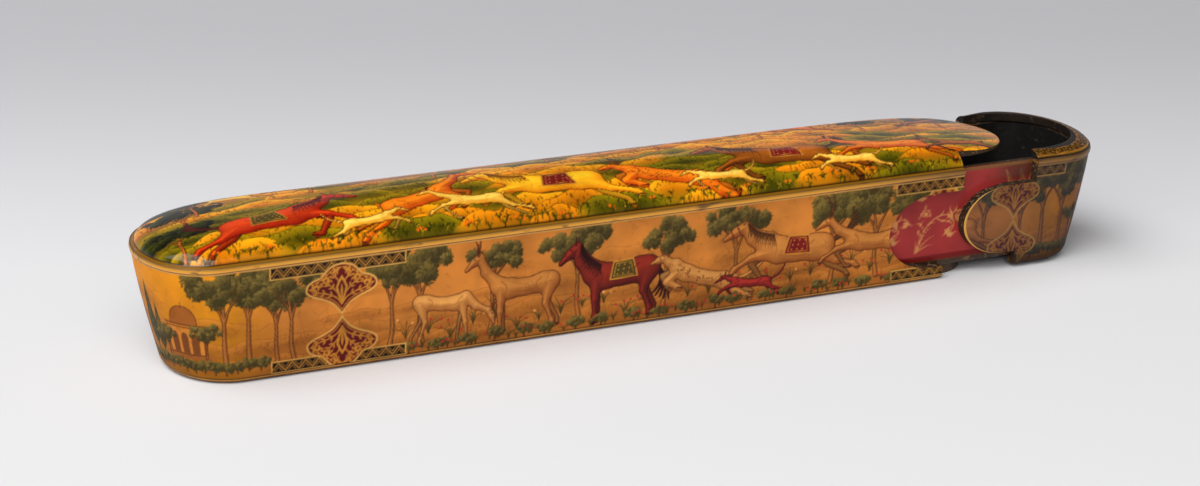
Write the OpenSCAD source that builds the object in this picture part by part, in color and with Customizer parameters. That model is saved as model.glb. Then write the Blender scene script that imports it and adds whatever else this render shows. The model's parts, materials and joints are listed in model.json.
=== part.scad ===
// Qalamdan pen box of pasted and lacquered paper: a domed case and a drawer that carries the
// case's end as a cap. X runs along the box, with the closed end at -X and the mouth at +X.
// The origin is at the middle of the closed box's base. The drawer is shown partly drawn out.

/* [Case] */
// Length of the closed box at its rim
case_length = 231.4; // [200:0.1:280]
// Width of the box at its rim
rim_width = 41; // [38:0.5:50]
// Width of the box at its base, before the lower edge is rounded
base_width = 36.8; // [34:0.1:40]
// Height of the rim above the table
rim_height = 29.2; // [26.5:0.1:36]
// Length of each round end, from its tip to the straight sides
end_reach = 14.5; // [10:0.5:20]
// How far each end draws in from the rim to the base
end_slope = 5.7; // [2:0.1:8]
// Radius of the rounded lower edge
edge_round = 2; // [1:0.1:2.3]
// Thickness of the side wall
wall = 2.5; // [2:0.1:3]
// Thickness of the base board
base_board = 2.4; // [2.3:0.1:2.9]

/* [Rim and top] */
// Height of the gilded bead
bead_height = 1.4; // [1:0.1:2.5]
// How far the bead stands out from the wall
bead_swell = 0.3; // [0.1:0.05:0.6]
// Width of the sloping ledge round the foot of the dome
ledge = 1; // [0.6:0.1:1.5]
// Rise of that ledge
ledge_rise = 0.4; // [0.2:0.1:1.2]
// Height of the dome above its foot
dome_height = 7.8; // [5:0.1:11]
// Thickness of the domed top
dome_skin = 1.5; // [1.2:0.1:2]
// Length over which the dome falls to the rim at the closed end
closed_fall = 70; // [40:1:75]
// Length over which the dome falls to the rim at the mouth
mouth_fall = 140; // [90:1:150]

/* [Mouth] */
// Rise of the cap's band from its rim to its inner edge
band_rise = 1.9; // [1.4:0.1:3]
// Distance from the cap's tip to the upper shoulder of the cut
upper_shoulder = 23.8; // [21:0.1:30]
// Distance from the cap's tip to the lower shoulder of the cut
lower_shoulder = 28.1; // [23:0.1:31]
// Depth of the side hollow, from the upper shoulder to its deepest point
hollow_depth = 20.6; // [17.5:0.1:30]
// Length of the round part of the side hollow
hollow_round = 12.5; // [6:0.5:15]
// Height of the side hollow
hollow_height = 19.9; // [14:0.1:20.8]
// Height of the middle of the side hollow above the table
hollow_middle = 13.7; // [13.2:0.1:14.5]
// Width of the tongue at the mouth of the domed top
top_tongue_width = 33; // [24:0.5:33.5]
// Distance from the cap's tip to the nose of that tongue
top_tongue_inset = 4.5; // [3.2:0.1:10]
// Length of the round part of that tongue
top_tongue_round = 15.5; // [10:0.5:18]
// Width of the tongue at the mouth of the base board
base_tongue_width = 29; // [14:0.5:30]
// Length of that tongue beyond the lower shoulder
base_tongue_length = 13; // [6:0.5:16]

/* [Drawer] */
// How far the drawer is drawn out
drawn_out = 21.2; // [0:0.1:60]
// Thickness of the drawer's wall
drawer_board = 1.6; // [1.2:0.1:2.4]
// Thickness of the drawer's floor
floor_board = 1.6; // [1.2:0.1:2.4]
// How far the drawer's top edge lies below the rim
drawer_drop = 0.5; // [0.3:0.1:3]
// Radius of the drawer's rounded lower edge
floor_round = 1.1; // [0.4:0.1:1.1]
// Thickness of the lining
lining = 0.5; // [0.3:0.1:0.8]

/* [Fits] */
// Gap all round the drawer in the case
slide_gap = 0.3; // [0.2:0.05:0.5]
// Gap between case and cap when the box is closed
mouth_gap = 0.3; // [0.2:0.05:0.6]
// Further gap under the cap's side tongues
tongue_lift = 0.9; // [0:0.1:1.5]
// Gap between the table and the cap's foot, because the drawer rides on the case's base
foot_lift = 0.8; // [0.2:0.1:1.2]
// Gap between the drawer's end and the closed end of the case when the box is closed
end_gap = 1; // [0.5:0.1:4]

/* [Hidden] */

// Segments of each round end, of a wall's height, of a rounded edge, of a curve up the dome or the
// band and of a mouth curve
end_steps = 28;
wall_steps = 4;
edge_steps = 5;
dome_steps = 9;
band_steps = 4;
mouth_steps = 24;
// The dome stops just short of its ridge line, with a narrow flat strip
dome_stop = 86;
// Bend of the ends and of the dome's curves: 1 is a straight end, or an elliptical dome
end_bend = 1.3;
dome_bend = 1.4;
// Overshoot of cutting shapes past the pieces that they cut
past = 5;

tip_x = case_length / 2;
rim_half = rim_width / 2;
base_half = base_width / 2;
wall_top = rim_height - bead_height;
dome_foot = rim_height + ledge_rise;
band_width = (rim_width - top_tongue_width) / 2;

// Depths inside the case's face: the drawer's outer face, which the cap's wall is glued to, and the
// lining's outer and inner faces
drawer_face = wall + slide_gap;
lining_face = drawer_face + drawer_board;
trough_face = lining_face + lining;

// Heights of the drawer's boards
floor_bottom = base_board + slide_gap;
floor_top = floor_bottom + floor_board;
drawer_top = rim_height - drawer_drop;

// Heights at which every upright wall has a ring, so that glued faces meet all over
wall_heights = concat(
  [floor_bottom],
  [for (i = [0 : wall_steps]) floor_top + (wall_top - floor_top) * i / wall_steps]
);

// The mouth's cut, in the closed box
upper_x = tip_x - upper_shoulder;
lower_x = tip_x - lower_shoulder;
hollow_x = upper_x - hollow_depth + hollow_round;

// How far the rounded lower edge of radius r draws in at height z above its foot
function edge_in(z, r) = z < r ? r - sqrt(r * r - (r - z) * (r - z)) : 0;

// Half width, and the distance that the ends draw in, at height z and depth d inside the case's face
function half_at(z, d) = base_half + (rim_half - base_half) * z / rim_height - d;
function draw_in(z, d) = end_slope * pow(max(0, 1 - z / rim_height), end_bend) + d;

// A closed outline at height z, with elliptical ends of the given reach between two tips
function outline(z, half, left, right, reach) = concat(
  [for (i = [0 : end_steps])
    let (t = -90 + 180 * i / end_steps)
    [right - reach + reach * cos(t), half * sin(t), z]],
  [for (i = [0 : end_steps])
    let (t = 90 + 180 * i / end_steps)
    [left + reach + reach * cos(t), half * sin(t), z]]
);

// The outline of the case's face at height z, d deeper, with its closed end moved in by a gap
function body_ring(z, d, gap = 0) = outline(
  z, half_at(z, d),
  -tip_x + draw_in(z, d) + gap, tip_x - draw_in(z, d), end_reach - d
);

// The outline of the dome t degrees up its curve, s deeper
function dome_ring(t, s) =
  let (foot = ledge + s, keep = cos(t), fall = pow(1 - keep, dome_bend))
  outline(
    dome_foot + (dome_height - s) * pow(sin(t), dome_bend), (rim_half - foot) * keep,
    -tip_x + foot + (closed_fall - s) * fall,
    tip_x - foot - (mouth_fall - s) * fall, (end_reach - foot) * keep
  );

// Rings of a rounded lower edge of radius r that stands at z, d inside the case's face
function edge_rings(z, r, d, gap = 0) = [for (i = [0 : edge_steps])
  let (up = r * (1 - cos(90 * i / edge_steps)))
  body_ring(z + up, d + edge_in(up, r), gap)];

function dome_rings(s) = [for (i = [0 : dome_steps]) dome_ring(dome_stop * i / dome_steps, s)];

// Rings of the band's upper face, from the rim to the edge of the tongue
function band_rings() = [for (i = [0 : band_steps])
  let (t = 90 * i / band_steps)
  body_ring(rim_height + band_rise * pow(sin(t), dome_bend), band_width * (1 - cos(t)))];

// Rings of an upright face at depth d, from height low to height high
function wall_rings(low, high, d, gap = 0) =
  let (between = [for (z = wall_heights) if (z > low && z < high) z])
  [for (z = concat([low], between, [high])) body_ring(z, d, gap)];

function reversed(list) = [for (i = [len(list) - 1 : -1 : 0]) list[i]];

// Triangles between ring k and ring next, each of n points
function band_faces(k, next, n) = [for (i = [0 : n - 1])
  let (j = (i + 1) % n)
  each [[k * n + i, next * n + i, next * n + j], [k * n + i, next * n + j, k * n + j]]];

// A solid skinned over rings, closed by its first ring below and its last ring above
module skin(rings) {
  n = len(rings[0]);
  last = len(rings) - 1;
  polyhedron(
    points = [for (ring = rings) each ring],
    faces = concat(
      [[for (i = [0 : n - 1]) i]],
      [[for (i = [n - 1 : -1 : 0]) last * n + i]],
      [for (k = [0 : last - 1]) each band_faces(k, k + 1, n)]
    )
  );
}

// A hoop skinned over rings that go once round its section
module hoop(rings) {
  n = len(rings[0]);
  count = len(rings);
  polyhedron(
    points = [for (ring = rings) each ring],
    faces = [for (k = [0 : count - 1]) each band_faces(k, (k + 1) % count, n)]
  );
}

// An upright wall from height low to height high, between two depths inside the case's face
module wall_hoop(low, high, outer, inner, gap = 0) {
  hoop(concat(wall_rings(low, high, outer, gap), reversed(wall_rings(low, high, inner, gap))));
}

// The bead on the wall's top edge: a half-round swelling outside and a flat top
module bead_hoop(inner) {
  swell = [for (i = [0 : edge_steps])
    let (t = 180 * i / edge_steps)
    body_ring(wall_top + bead_height * (1 - cos(t)) / 2, -bead_swell * sin(t))];
  hoop(concat(swell, [body_ring(rim_height, inner), body_ring(wall_top, inner)]));
}

// The domed top as a shell: inside from its ridge to its foot, then outside from ledge to ridge
module dome_shell() {
  foot = body_ring(rim_height, ledge + dome_skin);
  skin(concat(reversed(dome_rings(dome_skin)), [foot, body_ring(rim_height, 0)], dome_rings(0)));
}

// All of the box on the cap's side of the mouth's side cut, less a gap, which is larger below by a lift
module side_mouth(gap, lift) {
  low = hollow_middle - hollow_height / 2 + gap + lift;
  high = hollow_middle + hollow_height / 2 - gap;
  nose = [for (i = [0 : mouth_steps])
    let (t = 90 + 180 * i / mouth_steps)
    [hollow_x + gap + hollow_round * cos(t), (high + low) / 2 + (high - low) / 2 * sin(t)]];
  rotate([90, 0, 0])
    linear_extrude(height = rim_width + 2 * past, center = true)
      polygon(concat(
        [[upper_x + gap, rim_height + past], [upper_x + gap, high]], nose,
        [[lower_x + gap, low], [lower_x + gap, -past],
          [tip_x + past, -past], [tip_x + past, rim_height + past]]
      ));
}

// The plan of all that lies on the case's side of a shoulder, with a tongue that ends at nose_x
module tongue_plan(shoulder_x, width, nose_x, round, gap) {
  half = width / 2 + gap;
  nose = [for (i = [0 : mouth_steps])
    let (t = -90 + 180 * i / mouth_steps)
    [nose_x + gap + round * (cos(t) - 1), half * sin(t)]];
  polygon(concat(
    [[shoulder_x + gap, -rim_half - past], [shoulder_x + gap, -half]], nose,
    [[shoulder_x + gap, half], [shoulder_x + gap, rim_half + past],
      [-tip_x - past, rim_half + past], [-tip_x - past, -rim_half - past]]
  ));
}

// The case's side of the mouth through the top, and through the base, grown by a gap
module top_side(gap) {
  translate([0, 0, rim_height - past])
    linear_extrude(height = dome_height + 2 * past)
      tongue_plan(upper_x, top_tongue_width, tip_x - top_tongue_inset, top_tongue_round, gap);
}

module base_side(gap) {
  translate([0, 0, -past])
    linear_extrude(height = floor_bottom + 2 * past)
      tongue_plan(
        lower_x, base_tongue_width, lower_x + base_tongue_length,
        min(base_tongue_width / 2, base_tongue_length - 1), gap
      );
}

module case_base() color("saddlebrown")
  intersection() {
    skin(concat(edge_rings(0, edge_round, 0), [body_ring(base_board, 0)]));
    base_side(0);
  }

module case_wall() color("peru")
  difference() {
    wall_hoop(base_board, wall_top, 0, wall);
    side_mouth(0, 0);
  }

module case_rim() color("darkgoldenrod")
  difference() {
    bead_hoop(wall);
    side_mouth(0, 0);
  }

module case_top() color("goldenrod")
  intersection() {
    dome_shell();
    top_side(0);
  }

module drawer_floor() color("maroon")
  translate([drawn_out, 0, 0])
    skin(concat(
      edge_rings(floor_bottom, floor_round, drawer_face, end_gap),
      [body_ring(floor_top, drawer_face, end_gap)]
    ));

module drawer_wall() color("crimson")
  translate([drawn_out, 0, 0])
    wall_hoop(floor_top, drawer_top, drawer_face, lining_face, end_gap);

module drawer_lining() color("black")
  translate([drawn_out, 0, 0])
    skin(concat(
      wall_rings(floor_top, drawer_top, lining_face, end_gap),
      reversed(wall_rings(floor_top + lining, drawer_top, trough_face, end_gap))
    ));

module cap_base() color("saddlebrown")
  translate([drawn_out, 0, 0])
    difference() {
      skin(concat(
        edge_rings(foot_lift, min(edge_round, floor_bottom - foot_lift), 0),
        [body_ring(floor_bottom, 0)]
      ));
      base_side(mouth_gap);
    }

module cap_wall() color("peru")
  translate([drawn_out, 0, 0])
    intersection() {
      wall_hoop(floor_bottom, wall_top, 0, drawer_face);
      side_mouth(mouth_gap, tongue_lift);
    }

module cap_rim() color("darkgoldenrod")
  translate([drawn_out, 0, 0])
    intersection() {
      bead_hoop(drawer_face);
      side_mouth(mouth_gap, tongue_lift);
    }

module cap_band() color("black")
  translate([drawn_out, 0, 0])
    difference() {
      skin(band_rings());
      top_side(mouth_gap);
    }

case_base();
case_wall();
case_rim();
case_top();
drawer_floor();
drawer_wall();
drawer_lining();
cap_base();
cap_wall();
cap_rim();
cap_band();
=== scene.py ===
"""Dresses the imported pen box: painted and lacquered shells, gilded beads, crimson drawer and a studio."""
import json
import logging
import math
from dataclasses import dataclass
from enum import Enum
from typing import Callable, Sequence, Union

import bpy
import numpy as np
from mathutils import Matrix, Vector


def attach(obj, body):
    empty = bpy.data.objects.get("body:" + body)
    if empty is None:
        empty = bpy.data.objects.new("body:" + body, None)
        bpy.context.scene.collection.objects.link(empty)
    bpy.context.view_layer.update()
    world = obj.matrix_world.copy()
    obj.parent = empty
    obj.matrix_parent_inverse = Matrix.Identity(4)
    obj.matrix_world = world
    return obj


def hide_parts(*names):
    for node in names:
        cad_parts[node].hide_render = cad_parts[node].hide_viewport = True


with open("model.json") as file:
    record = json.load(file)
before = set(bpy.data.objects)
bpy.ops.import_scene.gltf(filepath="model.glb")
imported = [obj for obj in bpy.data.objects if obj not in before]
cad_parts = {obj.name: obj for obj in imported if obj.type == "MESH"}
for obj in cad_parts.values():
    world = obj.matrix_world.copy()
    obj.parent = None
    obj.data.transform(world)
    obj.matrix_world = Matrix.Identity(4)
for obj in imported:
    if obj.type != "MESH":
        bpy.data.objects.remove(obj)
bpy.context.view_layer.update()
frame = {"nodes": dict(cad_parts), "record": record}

MM = 0.001
QUARTER = math.pi / 2
LOG = logging.getLogger("pen_box")

Array = np.ndarray
Material = bpy.types.Material
Number = Union[float, Array]
Colour = tuple[float, float, float]
Point = tuple[float, float]
Window = tuple[slice, slice]

GOLD = (206, 140, 48)
PALE_GOLD = (214, 160, 78)
DULL_GOLD = (178, 122, 50)
BLACK = (24, 15, 6)
MAROON = (88, 18, 20)
BRIDLE_RED = (104, 18, 12)
CLOTH_RED = (112, 22, 20)
CLOTH_GREEN = (74, 62, 22)


def linear(colour: Union[Colour, Array]) -> Array:
    """Turns display colours from 0 to 255 into linear ones from 0 to 1."""
    part = unit(np.asarray(colour, float) / 255)
    return np.where(part <= 0.04045, part / 12.92, ((part + 0.055) / 1.055) ** 2.4)


def rgba(colour: Colour) -> tuple[float, ...]:
    """The linear colour of a display colour, with full alpha."""
    return (*linear(colour).tolist(), 1)


def unit(value: Number) -> Array:
    """Holds values between 0 and 1."""
    return np.clip(value, 0, 1)


def blend(first: Sequence, second: Sequence, share: Number) -> Array:
    """A value, a point or a colour on its way from a first one to a second."""
    start = np.asarray(first, float)
    return start + (np.asarray(second, float) - start) * share


def limb(points: Sequence, start: float, end: Union[float, None] = None) -> Array:
    """Gives a path radii that run evenly from a start to an end, or stay as they start."""
    path = np.asarray(points, float)
    return np.column_stack((path, np.linspace(start, start if end is None else end, len(path))))


def bent(points: Sequence, steps: int = 6) -> Array:
    """A smooth curve through points.

    Args:
        points: The points that the curve passes through.
        steps: Points of the curve for each stretch.

    Returns:
        Rows of x and y.
    """
    path = np.asarray(points, float)
    whole = np.vstack((2 * path[0] - path[1], path, 2 * path[-1] - path[-2]))
    part = (np.arange(steps) / steps)[:, None]
    rows = []
    for a, b, c, d in zip(whole[:-3], whole[1:-2], whole[2:-1], whole[3:]):
        rows.append(0.5 * (2 * b + (c - a) * part + (2 * a - 5 * b + 4 * c - d) * part ** 2
                           + (3 * b - a - 3 * c + d) * part ** 3))
    return np.vstack(rows + [path[-1:]])


def aimed(angle: float, length: float) -> Array:
    """The step of a length in a direction that is given in degrees."""
    return length * np.array((math.cos(math.radians(angle)), math.sin(math.radians(angle))))


def heading(path: Array, step: int) -> float:
    """The direction in degrees in which a path reaches one of its points."""
    run = path[step] - path[step - 1]
    return math.degrees(math.atan2(run[1], run[0]))


def oblong(left: float, low: float, right: float, high: float) -> list[Point]:
    """The corners of an upright rectangle."""
    return [(left, low), (right, low), (right, high), (left, high)]


@dataclass(frozen=True)
class Tone:
    """A painter's three colours for one thing: its lit side, its shaded side and its outline."""

    light: Colour
    dark: Colour
    line: Colour

    def dimmed(self, share: float) -> "Tone":
        """The same tone, darker by a share."""
        return Tone(*(tuple(part * share for part in shade)
                      for shade in (self.light, self.dark, self.line)))


class Canvas:
    """A flat painting in millimetres, with a mask for its gold, that is laid on a shell's points."""

    DOTS = 6.0
    SUN_UP, SUN_ACROSS = 0.85, -0.5
    GRAIN = 0.12
    MARGIN = 0.4
    LAYERS = 3

    def __init__(self, left: float, low: float, right: float, high: float, seed: int) -> None:
        """Starts a bare canvas with its own seeded chance.

        Args:
            left: Where it starts along.
            low: Where it starts up.
            right: Where it ends along.
            high: Where it ends up.
            seed: The seed of its chance.
        """
        self.left, self.low, self.right = left, low, right
        self.xs = left + (np.arange(int((right - left) * self.DOTS)) + 0.5) / self.DOTS
        self.ys = low + (np.arange(int((high - low) * self.DOTS)) + 0.5) / self.DOTS
        self.gold = np.zeros((len(self.ys), len(self.xs)))
        self.colour = np.zeros((*self.gold.shape, 3))
        self.chance = np.random.default_rng(seed)

    def luck(self, base: float = 0.0, spread: float = 1.0) -> float:
        """A seeded chance value from a base up to the base plus a spread."""
        return base + spread * self.chance.random()

    def window(self, start: Sequence, end: Sequence) -> Window:
        """Finds the part of the canvas that a box covers.

        Args:
            start: The box's lower left corner.
            end: Its upper right corner.

        Returns:
            The rows and the columns.
        """
        spans = []
        for first, last, edge, dots in zip(start, end, (self.left, self.low), (self.xs, self.ys)):
            begin = min(max(int((first - edge) * self.DOTS) - 1, 0), len(dots))
            stop = int((last - edge) * self.DOTS) + 2
            spans.append(slice(begin, min(max(stop, begin), len(dots))))
        return spans[1], spans[0]

    def edge(self, gap: Array) -> Array:
        """Turns signed distances into a soft-edged cover."""
        return unit(0.5 - gap * self.DOTS)

    def lay(self, where: Window, cover: Array, colour: Sequence, gold: float = 0.0) -> None:
        """Lays one colour, or one for each dot, over part of the canvas, by a cover from 0 to 1."""
        self.colour[where] += cover[..., None] * (np.asarray(colour) - self.colour[where])
        self.gold[where] += cover * (gold - self.gold[where])

    def mottle(self, size: float, base: float, spread: float) -> None:
        """Varies the colours of the whole canvas in soft chance patches.

        Args:
            size: The size of the largest patches, which are halved and added in layers.
            base: The share of its colour that the darkest dot could keep.
            spread: How much more the lightest one could keep.
        """
        total = np.zeros_like(self.gold)
        for layer in range(self.LAYERS):
            step = size / 2 ** layer
            across, up = (self.xs - self.left) / step, (self.ys - self.low) / step
            table = self.chance.random((int(up.max()) + 2, int(across.max()) + 2))
            column, row = across.astype(int), up.astype(int)
            f, g = across - column, (up - row)[:, None]
            f, g = f * f * (3 - 2 * f), g * g * (3 - 2 * g)
            lines = blend(table[:, column], table[:, column + 1], f)
            total += blend(lines[row], lines[row + 1], g) / 2 ** layer
        self.colour *= (base + spread * (total / (2 - 2.0 ** (1 - self.LAYERS))))[..., None]

    def gap_to(self, limbs: Sequence[Array], melt: float = 0.0) -> tuple[Window, Array]:
        """Measures how far dots lie from a set of limbs.

        Args:
            limbs: Rows of x, y and radius for each limb.
            melt: How softly the limbs run together.

        Returns:
            The part of the canvas round the limbs, and its signed distances.
        """
        knots = np.concatenate(limbs)
        parts = np.concatenate([np.hstack((part[:-1], part[1:])) for part in limbs])
        spread = knots[:, 2:] + self.MARGIN
        where = self.window((knots[:, :2] - spread).min(0), (knots[:, :2] + spread).max(0))
        x = self.xs[where[1]][None, :, None].astype(np.float32)
        y = self.ys[where[0]][:, None, None].astype(np.float32)
        ax, ay, ar, bx, by, br = parts.T.astype(np.float32)
        dx, dy = bx - ax, by - ay
        t = unit(((x - ax) * dx + (y - ay) * dy) / (dx * dx + dy * dy + 1e-9))
        gap = np.hypot(x - ax - t * dx, y - ay - t * dy) - ar - t * (br - ar)
        least = gap.min(-1)
        if melt:
            least = least - melt * np.log(np.exp((least[..., None] - gap) / melt).sum(-1))
        return where, least

    def figure(self, limbs: Sequence[Array], tone: Tone, line: float = 0.16,
               melt: float = 0.12, depth: float = 1.3) -> None:
        """Paints a rounded form with a dark outline.

        Args:
            limbs: Rows of x, y and radius for each limb.
            tone: The form's colours.
            line: The width of its outline.
            melt: How softly the limbs run together.
            depth: How far in from its outline the form is rounded.
        """
        where, gap = self.gap_to(limbs, melt)
        if min(gap.shape) < 2:
            return
        up, across = np.gradient(gap)
        lit = (self.SUN_UP * up + self.SUN_ACROSS * across) / (np.hypot(up, across) + 1e-6)
        body = unit(-gap / depth)
        shade = 0.06 + 0.72 * np.sqrt(body * (2 - body)) + 0.4 * lit * (1 - 0.75 * body)
        shade = unit(shade + self.GRAIN * (self.chance.random(gap.shape) - 0.5))
        cover = self.edge(gap)
        self.lay(where, cover, blend(tone.dark, tone.light, shade[..., None]))
        self.lay(where, cover * unit(0.5 + (gap + line) * self.DOTS), tone.line)

    def stroke(self, points: Sequence, width: float, colour: Colour, taper: float = 1.0,
               gold: float = 0.0, cover: float = 1.0) -> None:
        """Draws a brush line, which narrows to a share of its width."""
        where, gap = self.gap_to([limb(points, width / 2, width / 2 * taper)])
        self.lay(where, cover * self.edge(gap), colour, gold)

    def rule(self, level: float, width: float, colour: Colour, gold: float) -> None:
        """Draws an even line along the whole canvas."""
        self.stroke([(self.left, level), (self.right, level)], width, colour, gold=gold)

    def dab(self, at: Sequence, size: Point, angle: float, colour: Colour, gold: float = 0.0) -> None:
        """Sets one oval dab.

        Args:
            at: Its middle.
            size: Half its length and half its width.
            angle: How far it is turned, in degrees.
            colour: Its display colour.
            gold: 1 where the colour is gold leaf.
        """
        reach = max(size)
        where = self.window((at[0] - reach, at[1] - reach), (at[0] + reach, at[1] + reach))
        dx, dy = self.xs[where[1]][None, :] - at[0], self.ys[where[0]][:, None] - at[1]
        c, s = aimed(angle, 1)
        gap = (np.hypot((dx * c + dy * s) / size[0], (dy * c - dx * s) / size[1]) - 1) * min(size)
        self.lay(where, self.edge(gap), colour, gold)

    def fill(self, outline: Sequence, colour: Sequence, gold: float = 0.0, cover: float = 1.0) -> None:
        """Fills a closed outline with a colour.

        Args:
            outline: The corners in order.
            colour: The display colour.
            gold: 1 where the colour is gold leaf.
            cover: How much the colour covers, from 0 to 1.
        """
        closed = np.asarray([*outline, outline[0]], float)
        where, gap = self.gap_to([limb(closed, 0)])
        x, y = self.xs[where[1]][None, :], self.ys[where[0]][:, None]
        within = np.zeros(gap.shape, bool)
        for (ax, ay), (bx, by) in zip(closed[:-1], closed[1:]):
            if ay != by:
                within ^= ((ay > y) != (by > y)) & (x < (bx - ax) * (y - ay) / (by - ay) + ax)
        self.lay(where, cover * self.edge(np.where(within, -gap, gap)), colour, gold)

    def sample(self, x: Array, y: Array) -> tuple[Array, Array]:
        """Reads the painting at places.

        Args:
            x: Places along the canvas.
            y: Places up the canvas.

        Returns:
            Linear colours and the share of gold.
        """
        u = np.clip((x - self.left) * self.DOTS - 0.5, 0, len(self.xs) - 1.001)
        v = np.clip((y - self.low) * self.DOTS - 0.5, 0, len(self.ys) - 1.001)
        i, j = v.astype(int), u.astype(int)
        f, g = (v - i)[..., None], (u - j)[..., None]
        both = np.dstack((self.colour, self.gold))
        low, high = (blend(both[row, j], both[row, j + 1], g) for row in (i, i + 1))
        mixed = blend(low, high, f)
        return linear(mixed[..., :3]), mixed[..., 3]


class Motif:
    """Something that is painted at one place of a canvas."""

    canvas: Canvas
    foot: Array

    def paint(self, canvas: Canvas, foot: Sequence) -> None:
        """Paints the motif.

        Args:
            canvas: The canvas to paint on.
            foot: Where the motif stands or starts.
        """
        self.canvas, self.foot = canvas, np.asarray(foot, float)
        self.draw()

    def draw(self) -> None:
        """Draws the motif from its foot."""
        raise NotImplementedError


class Gait(Enum):
    """How a beast moves: its pitch, the angles of neck and head, and of its four legs' three joints."""

    GALLOP = (6, 36, -22, ((80, 62, 36), (58, -34, -78), (-50, -74, -48), (-30, -62, -36)))
    STAND = (0, 56, -36, ((4, 0, 22), (-8, -3, 12), (12, -20, 8), (-2, -28, 0)))
    LEAP = (20, 48, -12, ((52, -58, -64), (74, -22, -50), (-42, -62, -52), (-56, -70, -62)))
    GRAZE = (-4, -40, -66, ((10, 4, 22), (-14, -8, 12), (14, -18, 8), (-6, -32, 0)))


class Kind(Enum):
    """A beast's build: girth, neck, head, leg girth, ears, tail, and the shares of body and leg."""

    HORSE = (0.200, 0.46, 0.33, 0.037, 0.09, 0.62, 1, 1)
    GAZELLE = (0.130, 0.50, 0.24, 0.026, 0.13, 0.14, 0.88, 1.02)
    STAG = (0.155, 0.52, 0.27, 0.031, 0.14, 0.14, 0.95, 1.02)
    HOUND = (0.125, 0.30, 0.30, 0.032, 0.10, 0.60, 1.12, 0.84)
    LEOPARD = (0.150, 0.26, 0.22, 0.050, 0.07, 0.85, 1.28, 0.72)


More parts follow.
